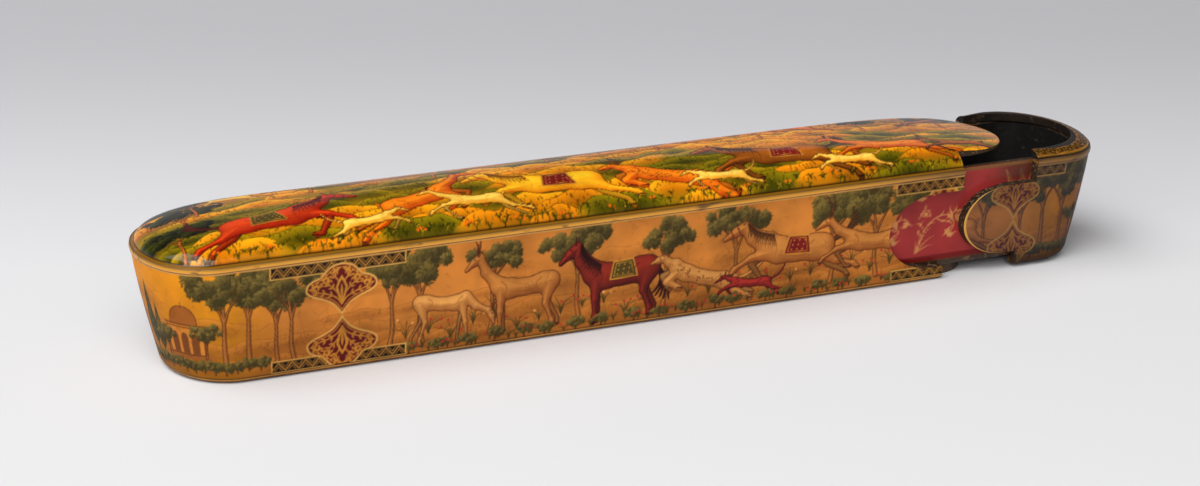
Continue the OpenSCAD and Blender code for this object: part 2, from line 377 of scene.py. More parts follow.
@dataclass
class Beast(Motif):
    """A painted four-legged animal, made of jointed limbs, that faces right unless it is turned.

    Its own points are in shares of its height, from the ground below its middle.
    """

    kind: Kind
    gait: Gait
    tone: Tone
    height: float
    turned: bool = False
    spans: tuple = ((0.31, 0.27, 0.09),) * 2 + ((0.30, 0.30, 0.09),) * 2
    thick: tuple = (0.62, 0.5, 0.86, 0.7)

    def __post_init__(self) -> None:
        """Works out the build and the stance."""
        self.girth, self.neck, self.head, self.leg, self.ears, self.tail, body, self.legs = self.kind.value
        self.pitch, self.rise, self.droop, self.turns = self.gait.value
        if self.kind in (Kind.HOUND, Kind.LEOPARD) and self.rise > 0:
            self.rise *= 0.6
        self.horse = self.kind is Kind.HORSE
        self.back = 0.10 + 0.62 * self.legs
        self.long = 0.42 * body
        self.throat = self.girth * 0.38
        self.root = self._lifted(self.long + 0.03, 0.07)
        self.nape = self.root + aimed(self.rise - 8, self.neck * 0.5)
        self.poll = self.nape + aimed(self.rise + 12, self.neck * 0.5)

    def _lifted(self, x: float, y: float) -> Array:
        """A point of the trunk after its pitch."""
        return np.array((0, self.back)) + aimed(self.pitch, x) + aimed(self.pitch + 90, y)

    def _headed(self, turn: float, away: float) -> Array:
        """A point at a distance from the poll, turned from the direction of the face."""
        return self.poll + aimed(self.droop + turn, away)

    def _placed(self, points: Sequence) -> Array:
        """Puts the beast's own points on the canvas.

        Args:
            points: The points, with or without radii.

        Returns:
            Their rows in millimetres.
        """
        rows = np.atleast_2d(np.asarray(points, float)) * self.height
        rows[:, 0] *= -1 if self.turned else 1
        rows[:, :2] += self.foot
        return rows

    def _leg(self, top: Array, angles: Sequence, thick: float, spans: Sequence) -> Array:
        """A leg from its top, through knee and fetlock, to its hoof.

        Args:
            top: Where it leaves the trunk.
            angles: The lean of its three parts, in degrees.
            thick: The radius at its top, as a share of the girth.
            spans: The lengths of its parts.

        Returns:
            Rows of x, y and radius.
        """
        path = [top]
        for angle, span in zip(angles, spans):
            path.append(path[-1] + aimed(angle - 90, span * self.legs))
        return np.column_stack((path, (self.girth * thick, self.leg * 1.35, self.leg, self.leg * 1.1)))

    def draw(self) -> None:
        """Draws the beast above its foot, from its far legs to the folds of its coat."""
        canvas, girth, long, throat = self.canvas, self.girth, self.long, self.throat
        shoulder, hip = self._lifted(long * 0.92, -0.06), self._lifted(-long * 0.95, -0.04)
        tops = (shoulder, shoulder + 0.03, hip, hip + 0.03)
        legs = [self._leg(*leg) for leg in zip(tops, self.turns, self.thick, self.spans)]
        near, far = legs[::2], legs[1::2]
        canvas.figure([self._placed(part) for part in far], self.tone.dimmed(0.74), melt=0.05)
        self._tail()

        self.trunk = np.array([[*self._lifted(x * long, y), share * girth] for x, y, share in (
            (-1, 0.02, 0.92), (-0.7, 0, 1), (0, -0.035, 0.84), (0.6, -0.03, 1), (1, 0.02, 0.9))])
        stout = girth * (0.88 if self.horse else 0.72)
        neck = np.array([[*self.root, stout], [*self.nape, stout * 0.68], [*self.poll, throat]])
        face = np.array([[*self.poll, throat], [*self._headed(0, self.head * 0.42), throat * 0.86],
                         [*self._headed(-4, self.head), throat * 0.5]])
        whole = [self._placed(part) for part in (self.trunk, neck, face, *near)]
        canvas.figure(whole, self.tone, melt=0.022 * self.height, depth=0.17 * self.height)
        ear = np.array([[*self._headed(95, throat * 0.7), self.ears * 0.2],
                        [*self._headed(118, throat + self.ears), self.ears * 0.08]])
        canvas.figure([self._placed(ear)], self.tone, line=0.1, melt=0)

        if self.kind in (Kind.GAZELLE, Kind.STAG):
            self._horns()
        if self.horse:
            self._mane()
            self._tack()
        if self.kind is Kind.LEOPARD:
            self._spots()
        canvas.dab(self._placed(self._headed(16, self.head * 0.3))[0], (0.24, 0.17), 0, self.tone.line)
        for part in near + far:
            hoof = self._placed(part)[-1]
            canvas.dab(hoof, (max(0.22, hoof[2]), 0.2), 0, self.tone.line)
        for arc in (((-0.62, 0.5), (-0.42, 0), (-0.52, -0.7)), ((0.92, 0.6), (0.72, 0), (0.78, -0.75)),
                    ((-0.4, -0.5), (0, -0.62), (0.6, -0.5))):
            fold = self._placed([self._lifted(x * long, y * girth) for x, y in arc])
            canvas.stroke(bent(fold, 4), 0.26, self.tone.dark, 0.4, cover=0.75)

    def _tail(self) -> None:
        """Paints the tail, with many strands on a horse."""
        stream, curl = (168, -14) if self.gait in (Gait.GALLOP, Gait.LEAP) else (225, 16)
        thick, thin = (0.030, 0.008) if self.horse else (self.leg * 0.6, self.leg * 0.35)
        tone = self.tone.dimmed(0.5) if self.horse else self.tone
        for strand in ((-9, -4, 1, 6, 11) if self.horse else (0,)):
            path = [self._lifted(-self.long - 0.06, 0.07)]
            for step in range(5):
                turn = stream + (curl + 0.6 * strand) * step
                path.append(path[-1] + aimed(turn, self.tail * (1 - 0.01 * strand) / 5))
            self.canvas.figure([self._placed(limb(bent(path, 3), thick, thin))], tone, line=0.1)

    def _horns(self) -> None:
        """Paints a pair of horns, or antlers with their tines."""
        branched = self.kind is Kind.STAG
        turns, span = ((122, 108, 84, 66), 0.12) if branched else ((126, 112, 92, 76), 0.095)
        for lean in (0, 18):
            path = [self._headed(92, 0.05)]
            for step, turn in enumerate(turns):
                path.append(path[-1] + aimed(self.droop + turn + lean, span))
                if branched and step:
                    tine = [path[-1], path[-1] + aimed(self.droop + turn - 62, 0.10)]
                    self.canvas.stroke(self._placed(tine), 0.26, self.tone.line, 0.5)
            self.canvas.stroke(self._placed(bent(path, 3)), 0.34, self.tone.line, 0.45)

    def _mane(self) -> None:
        """Paints a mane of short locks along the neck."""
        crest = bent((self.root, self.nape, self.poll), 13)
        along = crest[-1] - crest[0]
        across = np.array((-along[1], along[0])) / np.hypot(*along)
        for step, spot in enumerate(crest):
            top = spot + across * self.girth * (0.74 - 0.016 * step)
            tip = top - across * (0.1 + 0.03 * (step % 3)) - along * 0.3
            lock = bent([top, top - across * 0.06 - along * 0.16, tip], 3)
            self.canvas.stroke(self._placed(lock), 0.32, self.tone.dimmed(0.5).dark, 0.3)

    def _tack(self) -> None:
        """Paints a bridle, and a saddle cloth with a gold border and a trellis of dots."""
        for turn, share in ((86, 0.3), (90, 0.62)):
            strap = [self._headed(0, self.head * share) + aimed(self.droop + turn, side * self.throat * 0.8)
                     for side in (-1, 1)]
            self.canvas.stroke(self._placed(strap), 0.26, BRIDLE_RED)
        corners = self._placed([self._lifted(x, y * self.girth) for x, y in (
            (-0.17, 0.9), (0.13, 0.82), (0.18, -0.5), (-0.24, -0.42), (-0.17, 0.9))])
        self.canvas.fill(corners[:-1], CLOTH_RED if self.tone.light[1] > 90 else CLOTH_GREEN)
        middle = corners[:-1].mean(0)
        for share, width in ((1, 0.36), (0.74, 0.16)):
            self.canvas.stroke(blend(middle, corners, share), width, GOLD, gold=0.6)
        long, tall = (corners[1] - corners[0]) * 0.7, (corners[1] - corners[2]) * 0.7
        for across in (-0.4, 0, 0.4):
            for up in (-0.36, 0, 0.36):
                self.canvas.dab(middle + across * long + up * tall, (0.2, 0.2), 0, GOLD, gold=0.6)

    def _spots(self) -> None:
        """Paints dark spots over the trunk."""
        canvas, trunk = self.canvas, self.trunk
        for number in range(46):
            spot = canvas.luck() * (len(trunk) - 1.001)
            low = int(spot)
            centre = blend(trunk[low], trunk[low + 1], spot - low)
            step = aimed(canvas.luck(0, 360), centre[2] * 0.85 * canvas.luck() ** 0.5)
            canvas.dab(self._placed(centre[:2] + step)[0], (0.2, 0.15), number * 37, self.tone.line)


@dataclass
class Tree(Motif):
    """A leafy tree: a slender forked trunk, with twigs that end in loose clouds of small leaves."""

    height: float
    crown: float
    lean: float
    wood: Tone
    leaf_dark: Colour
    leaf_light: Colour
    clouds: int = 19

    def draw(self) -> None:
        """Draws the trunk with its boughs, then the twigs and their clouds of leaves."""
        canvas, start = self.canvas, self.foot
        bare = self.height - self.crown
        top = start + (self.lean, bare)
        fork = start + (self.lean * 0.4, bare * 0.62)
        thick = 0.024 * self.height + 0.1
        stem = [start, start + (self.lean * 0.5, self.height * 0.2), fork, top]
        limbs = [limb(bent(stem, 5), thick, thick * 0.45)]
        for side in (-1, 1):
            bough = [fork, fork + (side * 0.2 * self.crown, 0.5 * (top - fork)[1]),
                     top + (side * 0.7 * self.crown, 0.1 * self.crown)]
            limbs.append(limb(bent(bough, 5), thick * 0.6, thick * 0.25))
        canvas.figure(limbs, self.wood, line=0.14, melt=0.03)
        centres = []
        for step in range(self.clouds):
            away = self.crown * canvas.luck(0.1, 0.95)
            side = aimed(canvas.luck(step * 137.5, 60), away)
            centres.append(top + side * (1.45, 0.64) + (0, 0.3 * self.crown))
            canvas.stroke([top, centres[-1]], 0.22, self.wood.dark, 0.5)
        for centre in centres:
            self._cloud(centre, self.crown * canvas.luck(0.19, 0.2))

    def _cloud(self, centre: Array, size: float) -> None:
        """Paints one cloud of leaves, dark below and light above.

        Args:
            centre: The middle of the cloud.
            size: Half its height.
        """
        canvas = self.canvas
        where, gap = canvas.gap_to([limb([centre, centre + (0.4 * size, 0)], size * 0.85)])
        canvas.lay(where, np.clip(-gap / (0.3 * size), 0, 0.92), self.leaf_dark)
        for _ in range(int(24 * size * size) + 12):
            angle = canvas.luck(0, 360)
            away = size * 1.15 * canvas.luck() ** 0.5
            share = 0.36 + 0.55 * away / size * math.cos(math.radians(angle - 118))
            share = unit(share + 0.5 * (canvas.luck() - 0.5))
            canvas.dab(centre + aimed(angle, away), (0.4, 0.2), canvas.luck(angle, 70),
                       blend(self.leaf_dark, self.leaf_light, share))


@dataclass
class Cypress(Motif):
    """A slim dark cypress, a flame of short upright strokes."""

    height: float
    dark: Colour = (50, 44, 18)
    light: Colour = (96, 80, 34)

    def draw(self) -> None:
        """Draws the cypress on its foot."""
        canvas, (x, y) = self.canvas, self.foot
        tall, wide = self.height, self.height * 0.13
        canvas.stroke([(x, y), (x, y + tall * 0.2)], 0.5, self.dark)
        side = ((0.6, 0.62), (1, 0.3))
        flame = [(0, 1), *((-across, up) for across, up in side), (0, 0.1), *side[::-1], (0, 1)]
        canvas.fill(bent([(x + across * wide, y + up * tall) for across, up in flame], 5), self.dark)
        for _ in range(int(tall * 6)):
            up = canvas.luck()
            span = wide * math.sin(math.pi * min(1, 0.15 + up)) * (1.1 - up * 0.75)
            across = canvas.luck(-1, 2) * span * 0.8
            spot = np.array((x + across, y + tall * (0.14 + 0.78 * up)))
            canvas.stroke([spot, spot + (across * 0.1, 0.8)], 0.2, self.light, 0.5, cover=0.7)


@dataclass
class Tuft(Motif):
    """A tuft of grass or a low plant, with or without flowers on its blades."""

    size: float
    colours: Sequence[Colour]
    bloom: Union[Colour, None] = None

    def draw(self) -> None:
        """Draws the tuft on its foot."""
        canvas, start = self.canvas, self.foot
        blades = 5 + int(canvas.luck(0, 4))
        for blade in range(blades):
            lean = -52 + 104 * blade / (blades - 1) + 12 * (canvas.luck() - 0.5)
            tall = self.size * canvas.luck(0.65, 0.5)
            tip = start + aimed(90 - lean, tall)
            stem = bent([start, start + aimed(90 - lean * 0.5, tall * 0.55), tip], 3)
            canvas.stroke(stem, 0.26, self.colours[blade % len(self.colours)], 0.35)
            if self.bloom and blade % 2:
                canvas.dab(tip, (0.34, 0.3), lean, self.bloom)


@dataclass
class Ridge(Motif):
    """A hillock: a lit crest over a shaded foot, with hatched grass."""

    wide: float
    high: float
    light: Colour
    dark: Colour
    hatch: Colour
    cover: float = 1.0

    def draw(self) -> None:
        """Draws the hillock round the middle of its foot."""
        canvas, (x, y) = self.canvas, self.foot
        where = canvas.window((x - self.wide, y - self.high * 0.3), (x + self.wide, y + self.high * 1.2))
        across = (canvas.xs[where[1]] - x) / self.wide
        up = canvas.ys[where[0]][:, None] - y
        swell = 1 + 0.13 * np.sin(7 * across + x)
        below = self.high * swell * unit(1 - across ** 2) ** 0.8 - up
        kept = unit(below * canvas.DOTS) * unit(0.5 + up / (0.6 * self.high))
        kept = kept * unit(3 - 3 * np.abs(across)) * self.cover
        share = unit(below / (0.95 * self.high))[..., None]
        canvas.lay(where, kept, blend(self.light, self.dark, share))
        canvas.lay(where, kept * np.exp(-((below - 0.12) / 0.14) ** 2) * 0.8, self.hatch)
        for _ in range(int(self.wide * 3 * self.cover)):
            place = canvas.luck(-0.8, 1.6)
            level = self.high * (1 - place ** 2) * canvas.luck(0.1, 0.75)
            spot = self.foot + (place * self.wide, level)
            blade = aimed(canvas.luck(90 + 50 * place, 20), 0.9)
            canvas.stroke([spot, spot + blade], 0.2, self.hatch, 0.4, cover=0.75 * self.cover)


@dataclass
class Kiosk(Motif):
    """A small domed garden house with arches, on a low terrace."""

    wide: float
    high: float
    stone: Tone
    terrace: float = 1.1

    def draw(self) -> None:
        """Draws the garden house on its foot."""
        canvas, (x, y) = self.canvas, self.foot
        half, wall, line = self.wide / 2, self.high * 0.55, self.stone.line
        canvas.fill(oblong(x - half * 1.5, y, x + half * 1.5, y + self.terrace), self.stone.dark)
        canvas.fill(oblong(x - half, y + self.terrace, x + half, y + wall), self.stone.light)
        dome = [(x + half * 0.72 * math.cos(t), y + wall + 0.6 + self.high * 0.34 * math.sin(t) ** 0.8)
                for t in np.linspace(0, math.pi, 17)]
        canvas.fill(dome, self.stone.dark)
        canvas.stroke(dome, 0.2, line)
        canvas.stroke([(x, y + wall + self.high * 0.34), (x, y + self.high)], 0.22, line, 0.5)
        for level in (self.terrace, wall, wall + 0.7):
            canvas.stroke([(x - half * 1.08, y + level), (x + half * 1.08, y + level)], 0.24, line)
        for side in (-1, 1):
            canvas.stroke([(x + side * half, y), (x + side * half, y + wall)], 0.22, line)
        for step in (-0.56, 0, 0.56):
            middle, reach = x + step * half, half * 0.2
            arch = [(middle + reach * math.cos(t), y + wall * 0.62 + half * 0.34 * math.sin(t))
                    for t in np.linspace(0, math.pi, 9)]
            canvas.fill([(middle + reach, y + 1.3), *arch, (middle - reach, y + 1.3)], line, cover=0.75)


@dataclass(frozen=True)
class ZigzagBand:
    """A black band framed in gold, with a gold zigzag and striped bays."""

    start: float
    end: float
    low: float
    high: float
    period: float = 3.2
    border: float = 0.42

    def paint(self, canvas: Canvas) -> None:
        """Paints the band.

        Args:
            canvas: The canvas to paint on.
        """
        corners = oblong(self.start, self.low, self.end, self.high)
        canvas.fill(corners, BLACK)
        canvas.stroke(corners + corners[:1], 0.34, PALE_GOLD, gold=0.6)
        bays = max(1, round((self.end - self.start) / self.period))
        step = (self.end - self.start) / bays
        bottom, top = self.low + self.border, self.high - self.border
        for bay in range(2 * bays - 1):
            x = self.start + (bay + 0.5) * step / 2 + step / 4
            foot, tip = (bottom, top) if bay % 2 == 0 else (top, bottom)
            for share, width in ((1, 0.3), (0.55, 0.2)):
                half = step * share / 2
                peak = [(x - half, foot), (x, blend(foot, tip, share)), (x + half, foot)]
                canvas.stroke(peak, width, DULL_GOLD, gold=0.6)


@dataclass
class Palmette(Motif):
    """A maroon cartouche with a round crown, flared lobes and a pointed foot, full of gold scrolls.

    Its crown is above the point of its foot if up is 1, and below it if up is -1.
    """

    up: float
    share: float = 1.0
    wide: float = 16.8
    high: float = 12.4
    outline: tuple = (
        (0, 0), (0.09, 0.09), (0.26, 0.22), (0.52, 0.32), (0.82, 0.40), (0.98, 0.48), (1, 0.57),
        (0.92, 0.66), (0.76, 0.72), (0.58, 0.76), (0.48, 0.84), (0.28, 0.96), (0, 1))
    scrolls: tuple = (
        ((0, 2.4), (1.3, 4.1), (3.7, 5.3), (6.3, 6), (6.9, 7.2), (5.9, 7.7), (5.2, 7)),
        ((0, 3.6), (1.3, 5.7), (2.9, 7.3), (4.4, 8.3), (4.1, 9.3), (3.2, 9.1), (3.1, 8.3)),
        ((0, 6), (0.9, 8.4), (2.1, 9.9), (1.7, 11), (0.8, 10.7)))
    buds: tuple = ((1.5, 2.2, 9.6, True), (0.85, 3.6, 8.6, False), (0.34, 3.2, 7.6, True))
    petal: tuple = ((0, 0), (0.6, 0.3), (1, 0.6), (0.45, 0.85), (0, 1))

    def draw(self) -> None:
        """Draws the cartouche from the tip of its pointed foot."""
        canvas = self.canvas

        def laid(points: Sequence) -> Array:
            """Puts points of the cartouche on the canvas."""
            return np.asarray(points, float) * (self.share, self.up) + self.foot

        right = bent([(x * self.wide / 2, y * self.high) for x, y in self.outline], 5)
        whole = np.vstack((right, (right * (-1, 1))[::-1]))
        canvas.fill(laid(whole), MAROON)
        canvas.stroke(laid(whole), 0.5, PALE_GOLD, gold=0.7)
        canvas.stroke(laid(blend((0, self.high * 0.56), whole, 0.86)), 0.22, GOLD, gold=1)
        for scroll in self.scrolls:
            for turn in (-1, 1):
                path = laid(bent([(turn * x, y) for x, y in scroll], 6))
                canvas.stroke(path, 0.36, GOLD, 0.7, gold=1)
                for step in range(9, len(path) - 3, 4):
                    way = heading(path, step)
                    for lean in (-1, 1):
                        leaf = path[step] + aimed(way + 52 * lean, 0.62)
                        canvas.dab(leaf, (0.52, 0.2), way + 38 * lean, GOLD, gold=1)
        mirrored = [(-across, up) for across, up in self.petal[-2:0:-1]]
        for wide, low, high, gilt in self.buds:
            bud = [(across * wide, low + up * (high - low)) for across, up in (*self.petal, *mirrored)]
            canvas.fill(laid(bud), GOLD if gilt else MAROON, float(gilt))


@dataclass
class GoldSpray(Motif):
    """A fine gold spray: a stem that curls over, with curled shoots, slender leaves and open flowers.

    It starts at an angle in degrees, and curls to the left if side is 1, or to the right if it is -1.
    """

    reach: float
    angle: float
    side: int
    shoots: int = 4
    colour: Colour = (212, 146, 82)
    forks: tuple = ((8, -62, 20, 0.52), (15, 64, -22, 0.46), (22, -58, 23, 0.42), (29, 60, -26, 0.32))

    def draw(self) -> None:
        """Draws the stem, its shoots and the blades at its foot."""
        stem = self._curl(self.foot, self.angle, self.side * 13, self.reach)
        self._shoot(stem, 0.32)
        for step, lean, bend, share in self.forks[:self.shoots]:
            way = heading(stem, step) + self.side * lean
            self._shoot(self._curl(stem[step], way, self.side * bend, self.reach * share), 0.26)
        for step in range(self.shoots):
            way = self.angle - self.side * (16 - 20 * step)
            blade = self._curl(self.foot, way, self.side * 2, (0.44 - 0.06 * step) * self.reach)
            self.canvas.stroke(blade, 0.34, self.colour, 0.2, gold=0.5)

    def _curl(self, foot: Array, angle: float, bend: float, reach: float) -> Array:
        """The points of a stem that bends more and more towards its tip.

        Args:
            foot: Where the stem starts.
            angle: The direction it starts in, in degrees.
            bend: How strongly it bends.
            reach: How far it reaches.

        Returns:
            Rows of x and y.
        """
        path = [foot]
        for step in range(9):
            way = angle + bend * (0.35 * step + 0.24 * step ** 2)
            path.append(path[-1] + aimed(way, reach * (0.16 - 0.011 * step)))
        return bent(path, 4)

    def _shoot(self, path: Array, width: float) -> None:
        """Draws one stem with slender leaves and a flower at its tip.

        Args:
            path: The points of the stem.
            width: Its width at its foot.
        """
        canvas = self.canvas
        canvas.stroke(path, width, self.colour, 0.6, gold=0.5)
        for step in range(5, len(path) - 10, 6):
            side = 1 if step % 4 == 1 else -1
            leaf = self._curl(path[step], heading(path, step) + 24 * side, 4.0 * side, 0.095 * self.reach)
            canvas.stroke(leaf, 0.42, self.colour, 0.1, gold=0.5)
        for turn in range(0, 360, 72):
            canvas.dab(path[-1] + aimed(turn, 0.48), (0.4, 0.24), turn, self.colour, gold=0.5)


class Painting:
    """A painting that covers a canvas of its own."""

    canvas: Canvas

    def paint(self) -> Canvas:
        """Paints it.

        Returns:
            The finished canvas, along the piece and up or across it.
        """
        raise NotImplementedError


class SideTones:
    """The colours of the painted sides."""

    TAN = Tone((206, 134, 60), (128, 66, 24), (66, 28, 12))
    CREAM = Tone((222, 156, 80), (140, 80, 32), (78, 36, 16))
    CHESTNUT = Tone((150, 44, 28), (62, 14, 12), (34, 10, 6))
    CRIMSON = Tone((178, 50, 40), (92, 18, 18), (48, 10, 8))
    WOOD = Tone((184, 112, 48), (104, 58, 22), (56, 28, 12))
    STONE = Tone((196, 120, 44), (150, 84, 30), (86, 44, 18))
    LEAVES = ((58, 49, 20), (126, 104, 46))
    GRASS = ((66, 50, 18), (96, 68, 24), (50, 40, 14))
    RED_BLOOM = (172, 40, 34)
    LOW_BLOOM = (176, 42, 34)
    PALE_BLOOM = (222, 150, 84)
    AIR = ((142, 82, 26), (196, 120, 48), (188, 114, 44))
    GOLDEN_END = (212, 134, 14)
    HILL = ((206, 128, 48), (122, 68, 22), (92, 50, 18))


@dataclass
class SideScene(Painting):
    """The painted panel of one side: gardens at the ends, beasts and trees between two cartouches.

    The mouth is at the right end if mouth is 1, and at the left end if it is -1.
    """

    seed: int
    beasts: Sequence[tuple]
    trees: Sequence[tuple]
    mouth: int
    half: float = 126.5
    high: float = 29.0
    hills: tuple = ((17, 9, 0.4), (12, 13, 0.5), (6.5, 20, 0.55), (2.6, 26, 0.6))
    garden: tuple = ((94.5, 4, 25, 6), (104.6, 4.6, 10.5, 2.6), (116.4, 4.2, 9.5, 2.8),
                     (88, 4, 20, 4.6), (100.2, 4.2, 24.6, 6.4))
    closed_leaf: float = -72.5
    mouth_leaf: float = 86.2
    slim: float = 0.82
    waist: float = 13.7
    closed_band: Point = (-89.5, -57)
    mouth_band: float = 72.6
    bands: tuple = ((1, 24.7, 27.5, 100.5), (-1, 1.5, 4.2, 88.4))
    borders: tuple = ((0.5, 0.7, (126, 74, 16), 0.3), (1, 0.26, PALE_GOLD, 0.6),
                      (1.3, 0.2, BLACK, 0), (27.66, 0.3, PALE_GOLD, 0.6))

    def paint(self) -> Canvas:
        """Paints the side.

        Returns:
            The canvas, along the closed box and up its wall.
        """
        self.canvas = Canvas(-self.half, 0, self.half, self.high, self.seed)
        self._ground()
        self._gardens()
        self._panel()
        self._ornament()
        self.canvas.mottle(5, 0.92, 0.2)
        return self.canvas

    def _ground(self) -> None:
        """Lays the amber ground, golden at its ends, with soft hillocks."""
        canvas = self.canvas
        up = (canvas.ys / self.high)[:, None, None]
        low, middle, high = SideTones.AIR
        rising, falling = blend(low, middle, up / 0.5), blend(middle, high, (up - 0.5) / 0.5)
        canvas.colour[:] = np.where(up < 0.5, rising, falling)
        canvas.mottle(14, 0.88, 0.24)
        ends = unit((np.abs(canvas.xs) - 86) / 14)[None, :, None]
        canvas.colour += 0.8 * ends * (np.array(SideTones.GOLDEN_END) * (0.62 + 0.5 * up) - canvas.colour)
        for level, count, cover in self.hills:
            for step in range(count):
                spot = (-self.half + 2 * self.half * canvas.luck(step) / count, canvas.luck(level, 2))
                Ridge(canvas.luck(8, 9), canvas.luck(2, 2.5), *SideTones.HILL, cover).paint(canvas, spot)

    def _tree(self, foot: Point, tall: float, crown: float, lean: float) -> None:
        """Paints one tree or shrub."""
        Tree(tall, crown, lean, SideTones.WOOD, *SideTones.LEAVES).paint(self.canvas, foot)

    def _gardens(self) -> None:
        """Paints the gardens round both ends of the box."""
        canvas = self.canvas
        for side in (-1, 1):
            for place, tall in ((123, 18), (119.5, 13.5)):
                Cypress(tall).paint(canvas, (side * place, 5.5))
            Kiosk(10.5, 14.5, SideTones.STONE).paint(canvas, (side * 110.5, 6.2))
            for place, level, tall, crown in self.garden:
                self._tree((side * place, level), tall, crown, side * 0.6)
            for step in range(13):
                self._tree((side * (92 + 2.8 * step), canvas.luck(2.2)), 3, 1.5, 0)

    def _panel(self) -> None:
        """Paints the trees, shrubs and beasts of the long panel."""
        canvas = self.canvas
        for place, *build in self.trees:
            self._tree((place, 4), *build)
        for step in range(24):
            bloom = SideTones.RED_BLOOM if step % 3 else SideTones.PALE_BLOOM
            tuft = Tuft(canvas.luck(3.6, 2.4), SideTones.GRASS, bloom)
            tuft.paint(canvas, (self.mouth * (-57 + 5.6 * step), canvas.luck(3, 5)))
        for *build, place, level in self.beasts:
            Beast(*build).paint(canvas, (place, level))
        for step in range(56):
            spot = self.mouth * (-58 + 134 * canvas.luck(step) / 56)
            if step % 3 == 0:
                self._tree((spot, 1.4), canvas.luck(2.6), 1.4, 0)
            tuft = Tuft(canvas.luck(1.7), SideTones.GRASS, None if step % 4 else SideTones.LOW_BLOOM)
            tuft.paint(canvas, (spot + 1.2, canvas.luck(1.3, 1.2)))

    def _ornament(self) -> None:
        """Paints the zigzag bands, the cartouches and the border lines."""
        canvas = self.canvas
        for up, low, high, stop in self.bands:
            point = self.waist + 0.4 * up
            Palmette(up, self.slim).paint(canvas, (self.mouth * self.mouth_leaf, point))
            for ends in (self.closed_band, (self.mouth_band, stop)):
                ZigzagBand(*sorted(self.mouth * end for end in ends), low, high).paint(canvas)
            Palmette(up).paint(canvas, (self.mouth * self.closed_leaf, point))
        for border in self.borders:
            canvas.rule(*border)


class TopTones:
    """The colours of the painted top."""

    YELLOW = Tone((255, 200, 34), (206, 106, 4), (44, 18, 2))
    ORANGE = Tone((255, 142, 20), (172, 54, 4), (44, 14, 2))
    RED = Tone((236, 74, 18), (132, 18, 4), (40, 8, 2))
    CREAM = Tone((255, 218, 96), (216, 130, 20), (52, 24, 4))
    BROWN = Tone((186, 100, 20), (84, 36, 4), (32, 14, 2))
    WOOD = Tone((236, 136, 40), (140, 60, 10), (40, 18, 4))
    LEAVES = ((14, 16, 3), (66, 70, 8))
    GRASS = ((34, 36, 2), (60, 58, 4), (22, 24, 2), (186, 144, 18))
    BLOOM = (236, 104, 16)
    FIELD = (150, 112, 8)
    HILLS = (((255, 176, 20), (196, 104, 4)), ((255, 152, 14), (150, 84, 4)),
             ((186, 146, 10), (56, 52, 2)), ((150, 126, 8), (42, 44, 2)))
    HATCH = (28, 28, 2)


@dataclass
class TopScene(Painting):
    """The painted top: beasts that run over green and golden ground, with dark trees at the end."""

    seed: int = 7
    half: float = 116.0
    wide: float = 22.5
    trees: tuple = ((-111, 3, 17), (-104, -8, 19), (-108, -19, 17), (-100, 2, 17), (-72, 3, 16), (-42, 1, 17),
                    (-12, 3, 16), (17, 2, 17), (46, 3, 17), (75, 2, 16), (98, 2, 15))

    def paint(self) -> Canvas:
        """Paints the top.

        Returns:
            The canvas, along the closed box and across it.
        """
        self.canvas = Canvas(-self.half, -self.wide, self.half, self.wide, self.seed)
        self._ground()
        self._beasts()
        self.canvas.mottle(6, 0.92, 0.2)
        return self.canvas

    def _ground(self) -> None:
        """Lays golden and green hillocks one before the other, with hatched grass and trees."""
        canvas = self.canvas
        canvas.colour[:] = TopTones.FIELD
        for row, level in enumerate(np.linspace(19, -23, 15)):
            for step in range(13):
                golden = canvas.luck() < (0.35 if 7 < row < 13 else 0.8)
                light, dark = TopTones.HILLS[int(canvas.luck(0, 2)) + (0 if golden else 2)]
                place = -self.half + 19.0 * (step + 0.5 * (row % 2))
                spot = (canvas.luck(place, 9), canvas.luck(level, 1.5))
                ridge = Ridge(canvas.luck(9, 8), canvas.luck(3.4, 2.6), light, dark, TopTones.HATCH)
                ridge.paint(canvas, spot)
        for place, level, tall in self.trees:
            Tree(tall, 5.6, 1.2, TopTones.WOOD, *TopTones.LEAVES).paint(canvas, (place, level))

    def _beasts(self) -> None:
        """Paints the small beasts of the far side, the great ones of the near side and the plants."""
        canvas, tones, kind, gait = self.canvas, TopTones, Kind, Gait
        small = ((kind.GAZELLE, tones.CREAM), (kind.HOUND, tones.BROWN), (kind.STAG, tones.ORANGE))
        for step in range(11):
            breed, tone = small[step % 3]
            beast = Beast(breed, gait.GALLOP if step % 2 else gait.LEAP, tone, 10.5, step % 4 == 0)
            beast.paint(canvas, (-90 + 18.5 * step, 3.5 + 4 * (step % 2)))
        for *build, place, level in (
                (kind.HORSE, gait.GALLOP, tones.RED, 20, False, -86, -24.6),
                (kind.STAG, gait.LEAP, tones.ORANGE, 18.5, False, -50, -23.6),
                (kind.HOUND, gait.GALLOP, tones.CREAM, 10.5, False, -64, -22.2),
                (kind.HORSE, gait.GALLOP, tones.YELLOW, 20, True, -15, -24.4),
                (kind.GAZELLE, gait.GALLOP, tones.CREAM, 13.5, True, -36, -23),
                (kind.LEOPARD, gait.LEAP, tones.ORANGE, 17.5, True, 14, -22.8),
                (kind.HORSE, gait.GALLOP, tones.BROWN, 20.5, True, 46, -24.8),
                (kind.HOUND, gait.GALLOP, tones.CREAM, 10.5, True, 27, -22.2),
                (kind.STAG, gait.GALLOP, tones.ORANGE, 17.5, True, 76, -23.6),
                (kind.HOUND, gait.GALLOP, tones.CREAM, 10.5, True, 63, -22.2),
                (kind.GAZELLE, gait.GALLOP, tones.BROWN, 12.5, True, 96, -21.5)):
            Beast(*build).paint(canvas, (place, level))
        for step in range(130):
            spot = (-113 + 222 * canvas.luck(step) / 130, canvas.luck(-21.6, 2.2))
            Tuft(1.4, tones.GRASS, None if step % 7 else tones.BLOOM).paint(canvas, spot)


